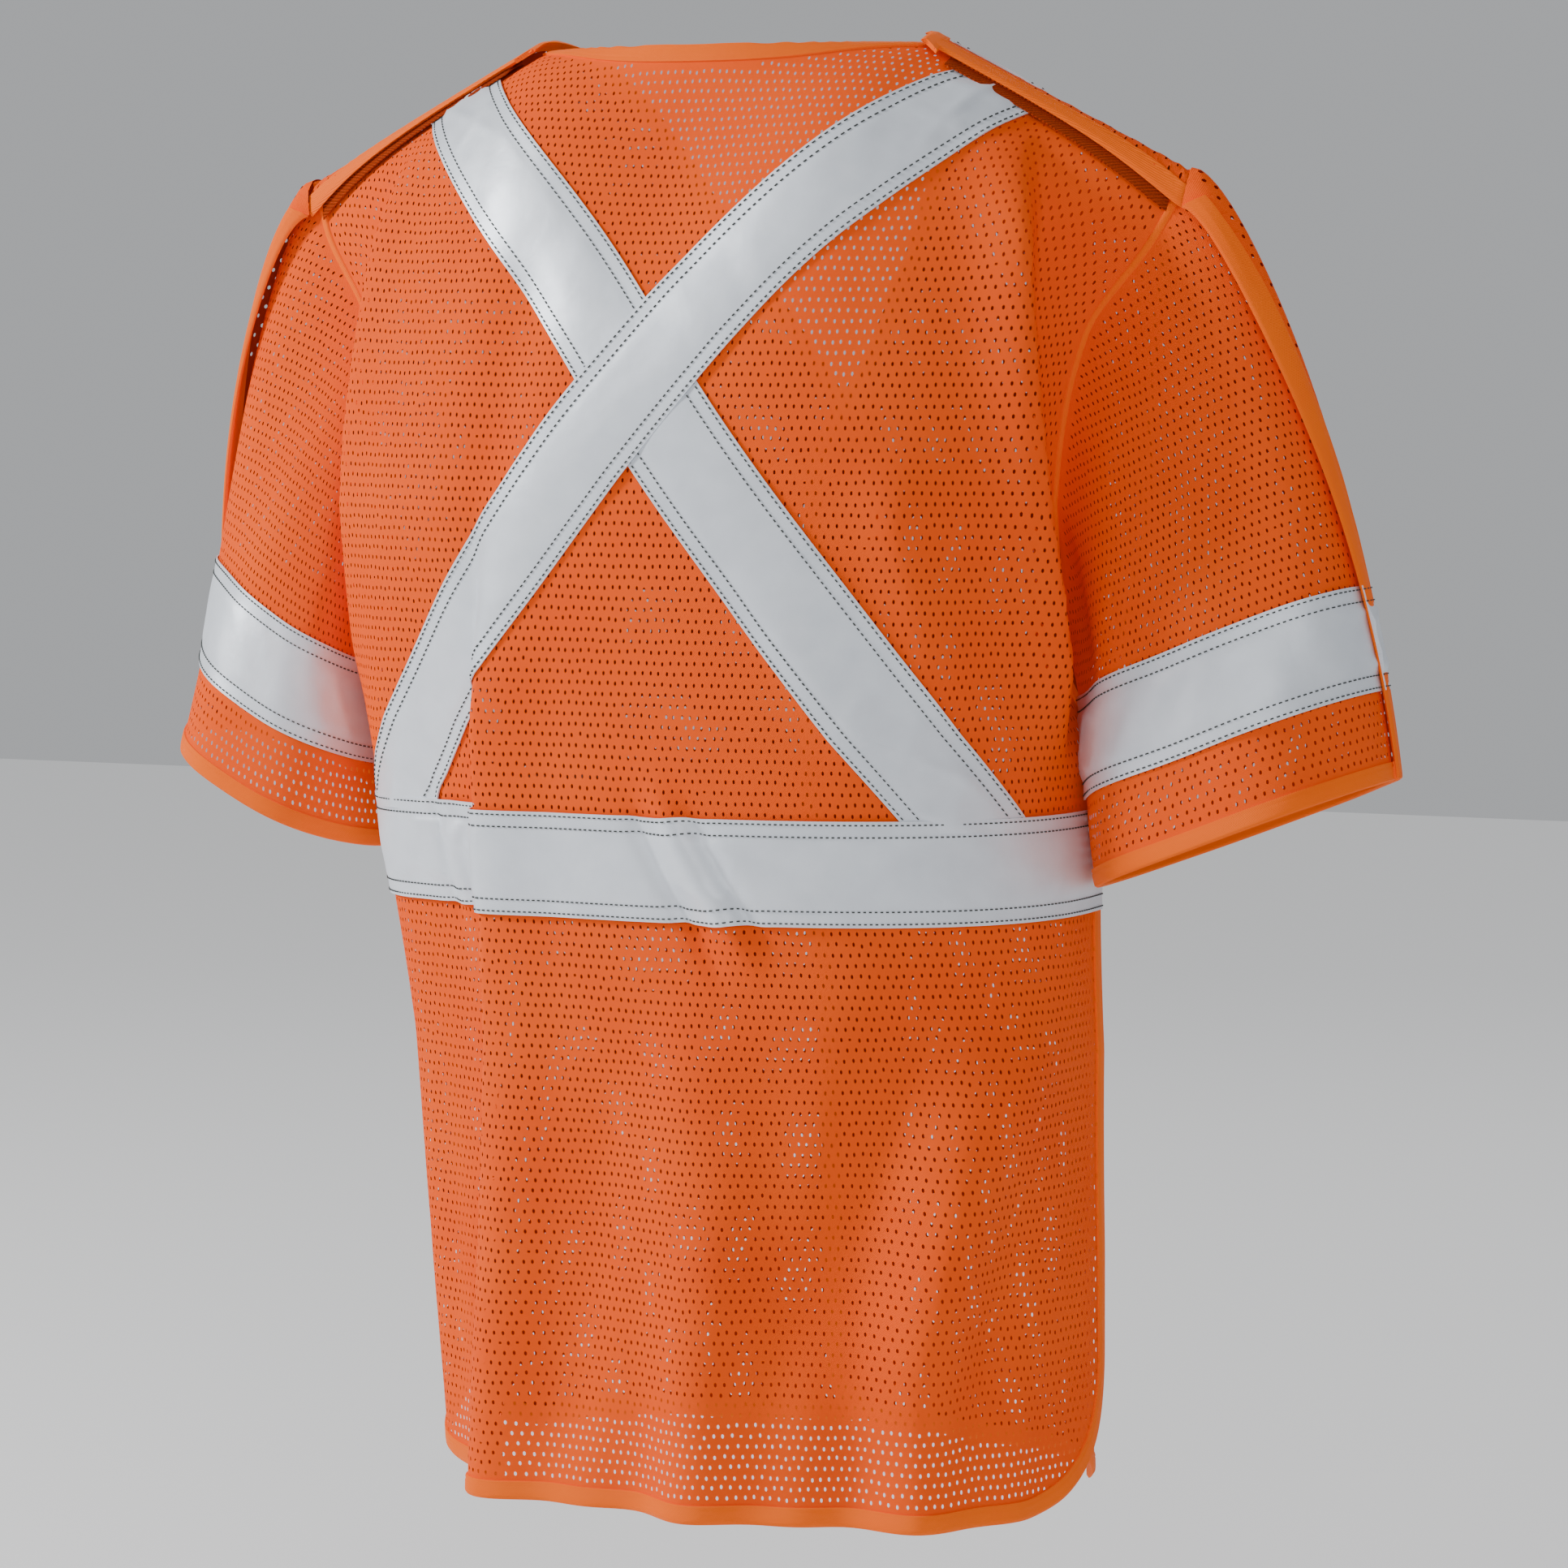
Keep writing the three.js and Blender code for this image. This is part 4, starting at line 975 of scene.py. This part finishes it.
# %% The fronts' outline and holes
def front_inside(a, h):
    across = (a > inner_edge(h, EDGE)) & (a < outer_edge(h, True, EDGE))
    return across & (h > HEM + EDGE) & (h < front_top(a) - EDGE)


def front_clamp(a, h):
    h = np.clip(h, HEM + EDGE, front_top(a) - EDGE)
    corner = side_edge(h, True) - HEM_CORNER
    a, h = radial(a, h, corner, HEM + HEM_CORNER, HEM_CORNER - EDGE, 1)
    centre = -LAP_HALF + CENTRE_CORNER
    a, h = radial(a, h, centre, HEM + CENTRE_CORNER, CENTRE_CORNER - EDGE, -1)
    a = np.where(h > HEM + HEM_CORNER, np.minimum(a, outer_edge(h, True, EDGE)), a)
    a = np.where(h > HEM + CENTRE_CORNER, np.maximum(a, inner_edge(h, EDGE)), a)
    return a, np.minimum(h, front_top(a) - EDGE)


FRONT_STRAP_IN = NECK_ACROSS + 7


def front_open(a, h):
    under_strap = np.abs(a - FRONT_STRAP_IN - TAPE_WIDTH / 2) < TAPE_WIDTH / 2 - 3
    covered = in_band(h, 3) | (under_strap & (h > BAND_TOP))
    across = (a > inner_edge(h, 8)) & (a < outer_edge(h, True, 7))
    across = across & (a < outer_edge(h, True, 0) - 4)
    return across & (h > HEM + 9) & (h < front_top(a) - 10) & ~covered

print("front strap starts", round(FRONT_STRAP_IN), "mm from the centre")

# %% [markdown]
# ## Cut the cloth
# The back is one panel. Each front is cut with its flap in one, as a tailor would, and is filed
# under a fold, which lies between two bodies, the front and its flap.

# %% Cut the body's cloth
PIECES = {}
BODY_OF = {}


def keep(made, body, *nodes):
    """Files a piece under its name, with its body and the solids that it stands for."""
    label = made.name[len(WORN) :]
    PIECES[label] = made
    BODY_OF[label] = body
    named = [label] if label in frame["nodes"] else []
    if nodes or named:
        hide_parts(*(nodes or named))
    return made


SHEETS = {}
cloth, size, area = knit(
    "back_cloth", BACK, (-306.275, HEM), (306.275, 90), back_inside, back_clamp, back_open
)
SHEETS["back_cloth"] = (size, area)
keep(cloth, "back", "back_panel")
for side, name in SIDES:
    cloth, size, area = knit(
        f"{name}_front_cloth",
        FRONTS[side],
        (-24.9, HEM),
        (300, 94),
        front_inside,
        front_clamp,
        front_open,
    )
    SHEETS[cloth.name[len(WORN) :]] = (size, area)
    keep(cloth, f"{name}_fold", f"{name}_front_panel", f"{name}_flap_panel")

# %% [markdown]
# A sleeve half is cut on its fan. The width of the cloth shrinks from the armhole to the hem, so
# its flat places are a share of the width there, and the cloth's area is measured on the form.

# %% Cut the sleeves' cloth
def cut_sleeve(side, name, front):
    sleeve = SLEEVES[side, front]

    def split(b, up):
        return b / sleeve.round_half(up), sleeve.length(b / sleeve.round_half(up))

    def inside(b, up):
        s, length = split(b, up)
        return (s > sleeve.start(up)) & (s < 1) & (up > EDGE) & (up < length)

    def clamp(b, up):
        for _ in range(3):
            s, _ = split(b, np.clip(up, EDGE, sleeve.lengths.max()))
            s = np.clip(s, sleeve.start(up), 1)
            up = np.clip(up, EDGE, sleeve.length(s))
            b = s * sleeve.round_half(up)
        return b, up

    def open_place(b, up):
        s, length = split(b, up)
        edges = (b > sleeve.start(up) * sleeve.round_half(up) + (11 if front else 4)) & (s < 0.985)
        return edges & (up > 11) & (up < length - 4) & ~in_band(up, 3, SLEEVE_TAPE_LOW + TAPE_WIDTH)

    high = (304, sleeve.lengths.max() + 4)
    where = "front" if front else "back"
    low = (-16.6 if front else 0, 0)
    label = f"{name}_sleeve_{where}_cloth"
    cloth, size, area = knit(label, sleeve, low, high, inside, clamp, open_place)
    SHEETS[cloth.name[len(WORN) :]] = (size, area)
    keep(cloth, f"{name}_front" if front else "back", f"{name}_sleeve_{where}_panel")


for side, name in SIDES:
    for front in (False, True):
        cut_sleeve(side, name, front)


# %% [markdown]
# ## Strips, bindings and stitches
# Tape and binding are long strips. One grid is made for the strip's outer face, extruded once for
# its thickness, and then placed along its path. A binding's two faces close on each other at its
# nose, which makes it round. Stitches are a thin strip with every second cell taken out.

# %% Strip makers
def placed_strip(bm, cols, rows, place, top, bottom, gaps=False):
    verts = bmesh.ops.create_grid(bm, x_segments=cols, y_segments=rows, size=0.5)["verts"]
    if gaps:
        spare = [f for f in bm.faces if int((f.calc_center_median().y + 0.5) * rows) % 2]
        bmesh.ops.delete(bm, geom=spare, context="FACES")
    raised = bmesh.ops.extrude_face_region(bm, geom=bm.faces[:])["geom"]
    upper = {v for v in raised if isinstance(v, bmesh.types.BMVert)}
    verts = bm.verts[:]
    unit = np.array([v.co[:2] for v in verts]) + 0.5
    u, v = unit[:, 0], unit[:, 1]
    a, h = place(u, v)
    on_top = np.array([x in upper for x in verts])
    z = np.where(on_top, top(u, v, a, h), bottom(u, v, a, h))
    for vert, x, y, layer in zip(verts, a, h, z):
        vert.co = (x, y, layer)


def tape(name, form, place, rows, base, cols=20, crumple=0.0, creased=None, seed=0.0):
    """Reflective tape, slightly padded between its stitches. creased() is where it is crushed."""

    def face(u, v, a, h):
        lies = np.sin(a / 7.3 + seed + 2.1 * np.sin(h / 13))
        lies = lies * np.sin(h / 9.1 + seed * 2 + 1.7 * np.sin(a / 17))
        pad = 0.5 * np.sin(math.pi * np.clip((u - 0.15) / 0.7, 0, 1)) ** 0.7
        held = np.minimum(np.abs(u - 0.15), np.abs(u - 0.85)) / 0.09
        edge = np.clip(held, 0, 1) * np.where((u > 0.15) & (u < 0.85), 1, 0.25)
        creases = 1 - np.abs(np.sin(a / 11 + h / 23 + seed) * np.cos(a / 19 - h / 8 + 2 * seed))
        rough = 1.5 * creased(u, v, a, h) * np.clip(creases, 0, 1) ** 3 if creased else 0
        return base(a, h) + 0.6 + pad + edge * (crumple * (0.5 + 0.5 * lies) + rough)

    bm = bmesh.new()
    placed_strip(bm, cols, rows, place, face, lambda u, v, a, h: base(a, h))
    return dress(bm, name, form, TAPE_LOOK)


print("tape is", TAPE_WIDTH, "mm wide")

# %% [markdown]
# Lockstitch shows as short dashes, with a gap where the thread dives through the cloth.

# %% Stitches
STITCH_PITCH, STITCH_WIDTH = 3.0, 0.6
TAPE_ROWS = (0.035, 0.15, 0.85, 0.965)  # two rows of stitches along each side of a tape


def tape_stitches(
    name, form, place, length, base, look=None, rows_at=TAPE_ROWS
):
    bm = bmesh.new()
    count = int(length / STITCH_PITCH)
    for at in rows_at:
        part = bmesh.new()
        placed_strip(
            part,
            1,
            2 * count - 1,
            lambda u, v: place(at + (u - 0.5) * STITCH_WIDTH / TAPE_WIDTH, v),
            lambda u, v, a, h: base(a, h) + 1.15,
            lambda u, v, a, h: base(a, h) + 0.4,
            gaps=True,
        )
        joined = bpy.data.meshes.new("part")
        part.to_mesh(joined)
        part.free()
        bm.from_mesh(joined)
        bpy.data.meshes.remove(joined)
    return dress(bm, name, form, look or THREAD_LOOK)


print("stitches every", STITCH_PITCH, "mm")

# %% [markdown]
# A binding is folded over the cut edge, so both its faces start at one round nose. A shallow
# groove shows where its stitches pull it down. A patch is a small flat strip with a pressed rim.

# %% Bindings and patches
def binding(name, form, place, rows, base=0.0, inner=0.75):
    """Folded twill round an edge. u is 0 at the nose and 1 at the inner edge."""

    def half(u, v, a, h):
        round_nose = np.sqrt(np.clip(1 - (1 - u / 0.16) ** 2, 0, 1)) * (u < 0.16) + (u >= 0.16)
        groove = 0.35 * np.exp(-(((u - 0.82) / 0.06) ** 2))
        return (0.12 + 1.15 * round_nose) * np.where(u > 0.97, inner, 1) - groove

    def top(*p):
        return base + half(*p)

    def bottom(*p):
        return base - half(*p)

    def run(u, v):
        return place(np.where(u < 0.01, -0.08, u), v)

    bm = bmesh.new()
    placed_strip(bm, 10, rows, run, top, bottom)
    return dress(bm, name, form, TRIM_LOOK)


def patch(name, form, place, cols, rows, low, high, look):
    def top(u, v, a, h):
        rim = np.minimum(np.minimum(u, 1 - u) * cols, np.minimum(v, 1 - v) * rows)
        return high - (high - low) * 0.5 * (rim < 0.5)

    bm = bmesh.new()
    placed_strip(bm, cols, rows, place, top, lambda u, v, a, h: low + 0 * u)
    return dress(bm, name, form, look)


print("binding is", BINDING_WIDTH, "mm wide")

# %% [markdown]
# ## The back's tapes
# One strip runs round the waist and two cross between the shoulders. Where they cross, the upper
# strap rides over the lower one, and both are caught under the waist band, so their base layer
# rises and falls along their length.

# %% Back tapes
def strap_place(side):
    fall = CROSS - BAND_TOP
    run = math.hypot(STRAP_REACH, fall)
    out, up = -STRAP_REACH / run, fall / run

    def at(u, s):
        aside = (u - 0.5) * TAPE_WIDTH
        bow = STRAP_BOW * ease(s / 200) ** 2
        return out * s + up * aside - bow, CROSS + up * s - out * aside

    def solve(u, gap, low, high):
        """Distance along the strap where gap() crosses zero, by halving."""
        low, high = np.full_like(u, low), np.full_like(u, high)
        for _ in range(40):
            middle = (low + high) / 2
            above = gap(*at(u, middle)) > 0
            low, high = np.where(above, low, middle), np.where(above, middle, high)
        return low

    def place(u, v):
        u = np.asarray(u, float)
        lower = solve(u, lambda a, h: h - (BAND_TOP - 6), -2.2 * run, 0)

        def below_ridge(a, h):
            return h - top_height(np.minimum(np.abs(a), TIP_ACROSS), False) + STRIP_WIDTH - 7

        a, h = at(u, mix(lower, solve(u, below_ridge, 0, 2 * run), v))
        return side * a, h

    return place


def cross_rise(over):
    def base(a, h):
        near = 1 - ease((np.hypot(a, h - CROSS) - 42) / 26)
        return 0.7 + (0.95 * near if over else 0)

    return base


def strap_crushed(u, v, a, h):
    return ease((v - 0.86) / 0.1) + 0.6 * ease((0.22 - v) / 0.1)


STRAP_LENGTH, BAND_LENGTH = 480, 600
for side, label in ((-1, "under"), (1, "over")):
    place = strap_place(side)
    base = cross_rise(side > 0)
    look = dict(crumple=0.3, creased=strap_crushed, seed=side)
    keep(tape(f"back_strap_{label}", BACK, place, 170, base, **look), "back")
    keep(tape_stitches(f"back_strap_{label}_stitches", BACK, place, STRAP_LENGTH, base), "back")


def band_place(u, v):
    h = BAND_TOP - TAPE_WIDTH * (1 - u)
    reach = side_edge(h, False) - EDGE
    return mix(-1, 1, v) * reach, h


def band_base(a, h):
    return 1.45 + 0 * a


def band_crushed(u, v, a, h):
    return ease((a - 88) / 12) * ease((190 - a) / 40) + 0.8 * np.exp(-(((a + 40) / 16) ** 2))


look = dict(crumple=0.6, creased=band_crushed)
keep(tape("back_waist_band", BACK, band_place, 200, band_base, **look), "back")
keep(tape_stitches("back_waist_band_stitches", BACK, band_place, BAND_LENGTH, band_base), "back")
print("back tapes", [p for p in PIECES if p.startswith(("back_strap", "back_waist"))])

# %% [markdown]
# ## The back's bindings and strips
# Folded twill closes the cut edges of the mesh, which would fray and stretch. One run goes down
# one side, along the hem and up the other, round corners of an even radius, so its path is built
# from arcs and straight runs.

# %% Back bindings
def neck_place(u, v):
    a = mix(-NECK_ACROSS, NECK_ACROSS, v)
    return a, top_height(a, False) - BINDING_WIDTH * u


HEM_END, CORNER_END = 0.38, 0.62


def back_edge_place(u, v):
    side, far = np.where(v < 0.5, -1, 1), np.abs(2 * v - 1)
    inward = u * BINDING_WIDTH
    straight = side_edge(np.full_like(v, HEM), False) - HEM_CORNER
    angle = np.pi / 2 * np.clip((far - HEM_END) / (CORNER_END - HEM_END), 0, 1)
    radius = HEM_CORNER - inward
    corner_h = HEM + HEM_CORNER - radius * np.cos(angle)
    corner_a = side_edge(corner_h, False) - HEM_CORNER + radius * np.sin(angle)
    t = np.clip((far - CORNER_END) / (1 - CORNER_END), 0, 1)
    side_h = mix(HEM + HEM_CORNER, UNDERARM - 1, t)
    side_a = side_edge(side_h, False) - inward
    on_hem, on_corner = far < HEM_END, far < CORNER_END
    a = np.where(on_hem, straight * far / HEM_END, np.where(on_corner, corner_a, side_a))
    h = np.where(on_hem, HEM + inward, np.where(on_corner, corner_h, side_h))
    return side * a, h


def edge_stitches(name, form, place, length, base):
    return tape_stitches(
        name,
        form,
        lambda u, v: place(np.clip(0.82 + (u - 0.5) * TAPE_WIDTH / BINDING_WIDTH, 0, 1), v),
        length,
        lambda a, h: base - 0.25 + 0 * a,
        ORANGE_THREAD,
        (0.5,),
    )


def bound_edge(name, form, place, rows, length, body, *nodes, base=0.0):
    keep(binding(name, form, place, rows, base), body, *nodes)
    keep(edge_stitches(f"{name}_stitches", form, place, length, base), body)


bound_edge("neck_binding", BACK, neck_place, 90, 260, "back")
bound_edge("back_edge_binding", BACK, back_edge_place, 420, 1300, "back")


print("pieces so far", len(PIECES))

# %% [markdown]
# The soft loop strips, which the fronts' hooks grip, lie along the shoulders and inside the side
# edges. A corded seam covers each armhole, where a sleeve half is sewn to the trunk.

# %% Loop strips and armhole seams
def shoulder_loop_place(side):
    def place(u, v):
        a = mix(NECK_ACROSS + BINDING_WIDTH + STRIP_CLEAR, TIP_ACROSS - STRIP_CLEAR, v)
        return side * a, top_height(a, False) - mix(STRIP_WIDTH, BUTT, u)

    return place


def side_loop_place(side):
    def place(u, v):
        h = BAND_TOP - TAPE_WIDTH * v
        return side * (side_edge(h, False) - BINDING_WIDTH - mix(STRIP_WIDTH, 2 * BUTT, u)), h

    return place


for side, name in SIDES:
    loops = (
        ("shoulder_loop", shoulder_loop_place(side), 50, 1.9, 3.0),
        ("side_loop", side_loop_place(side), 20, -1.9, -0.8),
    )
    for label, place, rows, low, high in loops:
        loop = patch(f"{name}_{label}", BACK, place, 8, rows, low, high, NAP_LOOK)
        keep(loop, "back")


def seam_place(side, front):
    def place(u, v):
        across, height = armhole(v, front)
        ahead, high = armhole(v + 0.001, front)
        run = np.hypot(ahead - across, high - height)
        aside = (u - 0.5) * 4.2
        a = across + (high - height) / run * aside
        return (a if front else side * a), height - (ahead - across) / run * aside

    return place


def seam(name, form, place):
    bm = bmesh.new()
    placed_strip(
        bm,
        6,
        110,
        place,
        lambda u, v, a, h: 0.5 + 1.0 * np.sqrt(np.clip(1 - (2 * u - 1) ** 2, 0, 1)),
        lambda u, v, a, h: -0.9 + 0 * u,
    )
    return dress(bm, name, form, TRIM_LOOK)


for side, name in SIDES:
    keep(seam(f"{name}_back_armhole_seam", BACK, seam_place(side, False)), "back")
    keep(seam(f"{name}_front_armhole_seam", FRONTS[side], seam_place(side, True)), f"{name}_front")
print("pieces so far", len(PIECES))

# %% [markdown]
# ## The fronts
# Each front and its flap were cut as one cloth, so that its mesh, binding and band run unbroken
# over the fold where the front swings open.

# %% Paths on the fronts
def front_edge_place(u, v):
    """All round a front: side edge, hem, centre edge and V neck, over the shoulder."""
    inward = u * BINDING_WIDTH
    stops = (0.0, 0.26, 0.32, 0.44, 0.48, 0.76, 1.0)

    def share(k):
        return np.clip((v - stops[k]) / (stops[k + 1] - stops[k]), 0, 1)

    side_h = mix(UNDERARM - 1, HEM + HEM_CORNER, share(0))
    outer = (side_edge(side_h, True) - inward, side_h)
    turn = np.pi / 2 * share(1)
    r = HEM_CORNER - inward
    turn_h = HEM + HEM_CORNER - r * np.sin(turn)
    corner = (side_edge(turn_h, True) - HEM_CORNER + r * np.cos(turn), turn_h)
    start = -LAP_HALF + CENTRE_CORNER
    straight = side_edge(np.full_like(v, HEM), True) - HEM_CORNER
    hem = (mix(straight, start, share(2)), HEM + inward)
    turn, r = np.pi / 2 * share(3), CENTRE_CORNER - inward
    inner = (start - r * np.sin(turn), HEM + CENTRE_CORNER - r * np.cos(turn))
    centre_h = mix(HEM + CENTRE_CORNER, V_BOTTOM, share(4))
    centre = (-LAP_HALF + inward, centre_h)
    neck_h = mix(V_BOTTOM, FRONT_NECK + SHOULDER_LAP - 1, share(5))
    neck = (inner_edge(np.minimum(neck_h, FRONT_NECK), 0) + inward, neck_h)
    parts = (outer, corner, hem, inner, centre, neck)
    which = [v < stop for stop in stops[1:-1]]
    a = np.select(which, [p[0] + 0 * v for p in parts[:-1]], neck[0])
    h = np.select(which, [p[1] + 0 * v for p in parts[:-1]], neck[1])
    return a, h


def lap_place(u, v):
    a = mix(NECK_ACROSS + 1, TIP_ACROSS, v)
    return a, front_top(a) - BINDING_WIDTH * u


def front_strap_place(u, v):
    a = FRONT_STRAP_IN + u * TAPE_WIDTH
    return a, mix(BAND_TOP - 6, top_height(a, True) - 12, v)


def front_band_place(u, v):
    h = BAND_TOP - TAPE_WIDTH * (1 - u)
    reach = np.interp(h, SIDE_HEIGHTS, QUARTERS[True]) - SIDE_PAST + BAND_PAST
    return mix(-LAP_HALF + EDGE, reach, v), h


def hook_place(u, v):
    a = mix(NECK_ACROSS + BINDING_WIDTH + STRIP_CLEAR, TIP_ACROSS - STRIP_CLEAR, v)
    return a, top_height(a, True) + mix(BUTT, SHOULDER_LAP - 1, u)


def side_hook_place(u, v):
    h = BAND_TOP - TAPE_WIDTH * v
    reach = np.interp(h, SIDE_HEIGHTS, QUARTERS[True]) - SIDE_PAST
    return reach + mix(BAND_PAST + 2 * BUTT, SIDE_LAP - 1, u), h


def closure_place(u, v):
    return CLOSURE[1] * (u - 0.5), BAND_TOP + CLOSURE_RISE + CLOSURE[0] * v


def low_base(a, h):
    return 0.7 + 0 * a


TAB_ACROSS = float((FRONT_STRAP_IN + TAPE_WIDTH + outer_edge(TAB_HEIGHT, True, 0)) / 2)


def tab_place(u, v):
    return TAB_ACROSS + TAB[1] * (u - 0.5), TAB_HEIGHT + TAB[0] * (v - 0.5)


print("microphone tab is", round(TAB_ACROSS), "mm out")

# %% [markdown]
# Both fronts are trimmed alike, from the same paths. Only the centre closure differs: the left
# front carries hooks on its inner face, and the right one carries loops on its outer face.

# %% Front pieces
for side, name in SIDES:
    form, front, fold = FRONTS[side], f"{name}_front", f"{name}_fold"
    bound_edge(
        f"{name}_front_binding",
        form,
        front_edge_place,
        560,
        1850,
        fold,
        f"{name}_front_side_binding",
        f"{name}_flap_binding",
        f"{name}_front_neck_binding",
    )
    shoulder = f"{name}_front_shoulder_binding"
    bound_edge(f"{name}_shoulder_binding", form, lap_place, 70, 150, front, shoulder)
    strap, band = f"{name}_front_strap", f"{name}_front_band"
    keep(tape(strap, form, front_strap_place, 150, low_base, crumple=0.25), front)
    keep(tape_stitches(f"{strap}_stitches", form, front_strap_place, 430, low_base), front)
    made = tape(band, form, front_band_place, 110, band_base, crumple=0.4, seed=side)
    keep(made, fold, band, f"{name}_flap_band")
    keep(tape_stitches(f"{band}_stitches", form, front_band_place, 310, band_base), fold)
    hooks = (
        ("shoulder_hook", hook_place, 8, 50, -1.9, -0.8, front),
        ("side_hook", side_hook_place, 8, 20, 0.8, 1.9, front),
    )
    closure = ("closure_hook", -1.9, -0.8) if side > 0 else ("closure_loop", 0.8, 1.9)
    hooks += ((closure[0], closure_place, 8, 48, closure[1], closure[2], f"{name}_flap"),)
    for label, place, cols, rows, low, high, body in hooks:
        made = f"{name}_{label}"
        keep(patch(made, form, place, cols, rows, low, high, NAP_LOOK), body)
    tab = patch(f"{name}_mic_tab", form, tab_place, 10, 24, 0.8, 2.9, TRIM_LOOK)
    keep(tab, front)

print("pieces so far", len(PIECES))

# %% [markdown]
# ## Sleeve tapes and bindings
# A short sleeve carries one ring of tape. It is cut where the sleeve opens over the arm, so each
# half has its own length of tape and of hem binding, and the front half's edge is bound too,
# because it laps over the back half.

# %% Sleeve trims
def sleeve_crushed(u, v, a, h):
    return ease((v - 0.68) / 0.1) + ease((0.1 - v) / 0.08)


for side, name in SIDES:
    for front in (False, True):
        form, body = SLEEVES[side, front], f"{name}_front" if front else "back"
        label = f"{name}_sleeve_{'front' if front else 'back'}"

        def sleeve_tape_place(u, v, form=form):
            up = SLEEVE_TAPE_LOW + TAPE_WIDTH * u
            return mix(form.start(up), 1, v) * form.round_half(up), up

        def sleeve_hem_place(u, v, form=form):
            up = BINDING_WIDTH * u
            return mix(form.start(up), 1, v) * form.round_half(up), up + 0 * v

        sleeve_tape = tape(
            f"{label}_tape",
            form,
            sleeve_tape_place,
            90,
            low_base,
            crumple=0.5,
            creased=sleeve_crushed,
            seed=2 + side,
        )
        keep(sleeve_tape, body)
        keep(tape_stitches(f"{label}_tape_stitches", form, sleeve_tape_place, 225, low_base), body)
        bound_edge(f"{label}_hem_binding", form, sleeve_hem_place, 90, 215, body)
        if front:

            def top_place(u, v, form=form):
                up = mix(1, form.length(-OVERLAP) - 1, v)
                return form.start(up) * form.round_half(up) + BINDING_WIDTH * u, up + 0 * u

            bound_edge(f"{label}_top_binding", form, top_place, 110, 290, body, base=0.3)

print("pieces", len(PIECES))

# %% [markdown]
# ## Bodies and joints
# Every piece rides on the body that carries it. A piece that crosses a front's fold can't be
# rigid, so it is attached to neither body and stays where it was dressed; the span across the hinge
# where it would bend between the front and its flap is worked out, but no bend is applied. The fold
# line is the hinge in the frame.

# %% Ride and blend
FOLD_HALF = 12
JOINTS = {joint["name"]: joint for joint in frame["joints"]}


def fold_span(side, name):
    """Places where a front's bend starts and ends, across its hinge line."""
    hinge = JOINTS[f"{name}_front_open"]
    lean = side * hinge["axis"][0] / hinge["axis"][2]
    across = Vector((-side, 0, lean)).normalized() * FOLD_HALF * MM
    at = Vector(hinge["pos_m"])
    return tuple(at - across), tuple(at + across)


SPANS = {}
for side, name in SIDES:
    SPANS[f"{name}_fold"] = (f"{name}_front", f"{name}_flap", *fold_span(side, name))
for piece, body in BODY_OF.items():
    if body in SPANS:
        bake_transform(PIECES[piece])
    else:
        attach(PIECES[piece], body)
print("bodies used", sorted(set(BODY_OF.values())))


for name, (size, area) in SHEETS.items():
    body = WORN + "back_cloth" if name != "back_cloth" else ()
print("sheets", len(SHEETS))

# %% [markdown]
# ## Floor, light and camera
# The vest hangs over a plain pale floor in soft light from large panels, and is seen from behind
# and slightly above its middle.

# %% Studio
FLOOR_LEVEL = -0.95


def area_light(name, place, toward, size, power):
    lamp = bpy.data.lights.new(name, "AREA")
    lamp.shape = "DISK"
    lamp.size, lamp.energy = size, power
    made = bpy.data.objects.new(name, lamp)
    made.location = place
    made.rotation_euler = (Vector(toward) - Vector(place)).to_track_quat("-Z", "Y").to_euler()
    bpy.context.scene.collection.objects.link(made)


bm = bmesh.new()
bmesh.ops.create_grid(bm, x_segments=1, y_segments=1, size=6)
floor_mesh = bpy.data.meshes.new("floor")
bm.to_mesh(floor_mesh)
bm.free()
floor = bpy.data.objects.new("floor", floor_mesh)
floor.location = (0, 0, FLOOR_LEVEL)
bpy.context.scene.collection.objects.link(floor)
pale = bpy.data.materials.new("pale_floor")
pale.use_nodes = True
paint = pale.node_tree.nodes["Principled BSDF"].inputs
paint["Base Color"].default_value = (0.8, 0.8, 0.8, 1)
paint["Roughness"].default_value = 0.9
paint["Emission Color"].default_value = (1, 1, 1, 1)
paint["Emission Strength"].default_value = 0.2
floor.data.materials.append(pale)

MIDDLE = (0, 0, -0.4)
area_light("key", (2.7, 1.5, 1.4), MIDDLE, 0.8, 125)
area_light("fill", (-1.6, 2.6, 0.9), MIDDLE, 1.4, 20)
area_light("front", (0.8, -2.6, 1.2), MIDDLE, 1.6, 8)
world = bpy.data.worlds.new("pale_sky")
world.use_nodes = True
world.node_tree.nodes["Background"].inputs["Color"].default_value = (0.95, 0.97, 1.0, 1)
world.node_tree.nodes["Background"].inputs["Strength"].default_value = 0.45
bpy.context.scene.world = world
print("lights", len(bpy.data.lights))

# %% [markdown]
# The camera looks at the vest's middle from behind the wearer's right side. A long lens from well
# back keeps the near sleeve from looking larger than it is, and a small shift sets the vest in
# its place in the frame.

# %% Camera
AZIMUTH, ELEVATION, DISTANCE = math.radians(204.5), math.radians(5), 2.6
camera_data = bpy.data.cameras.new("camera")
camera_data.sensor_width = 36
camera_data.angle = math.radians(17.2)
camera_data.shift_x = 0.0228
camera = bpy.data.objects.new("camera", camera_data)
target = Vector((0, 0, -0.365))
behind = Vector(
    (
        math.sin(AZIMUTH) * math.cos(ELEVATION),
        -math.cos(AZIMUTH) * math.cos(ELEVATION),
        math.sin(ELEVATION),
    )
)
camera.location = target + behind * DISTANCE
camera.rotation_euler = behind.to_track_quat("Z", "Y").to_euler()
bpy.context.scene.collection.objects.link(camera)
bpy.context.scene.camera = camera
print("camera at", [round(x, 3) for x in camera.location])
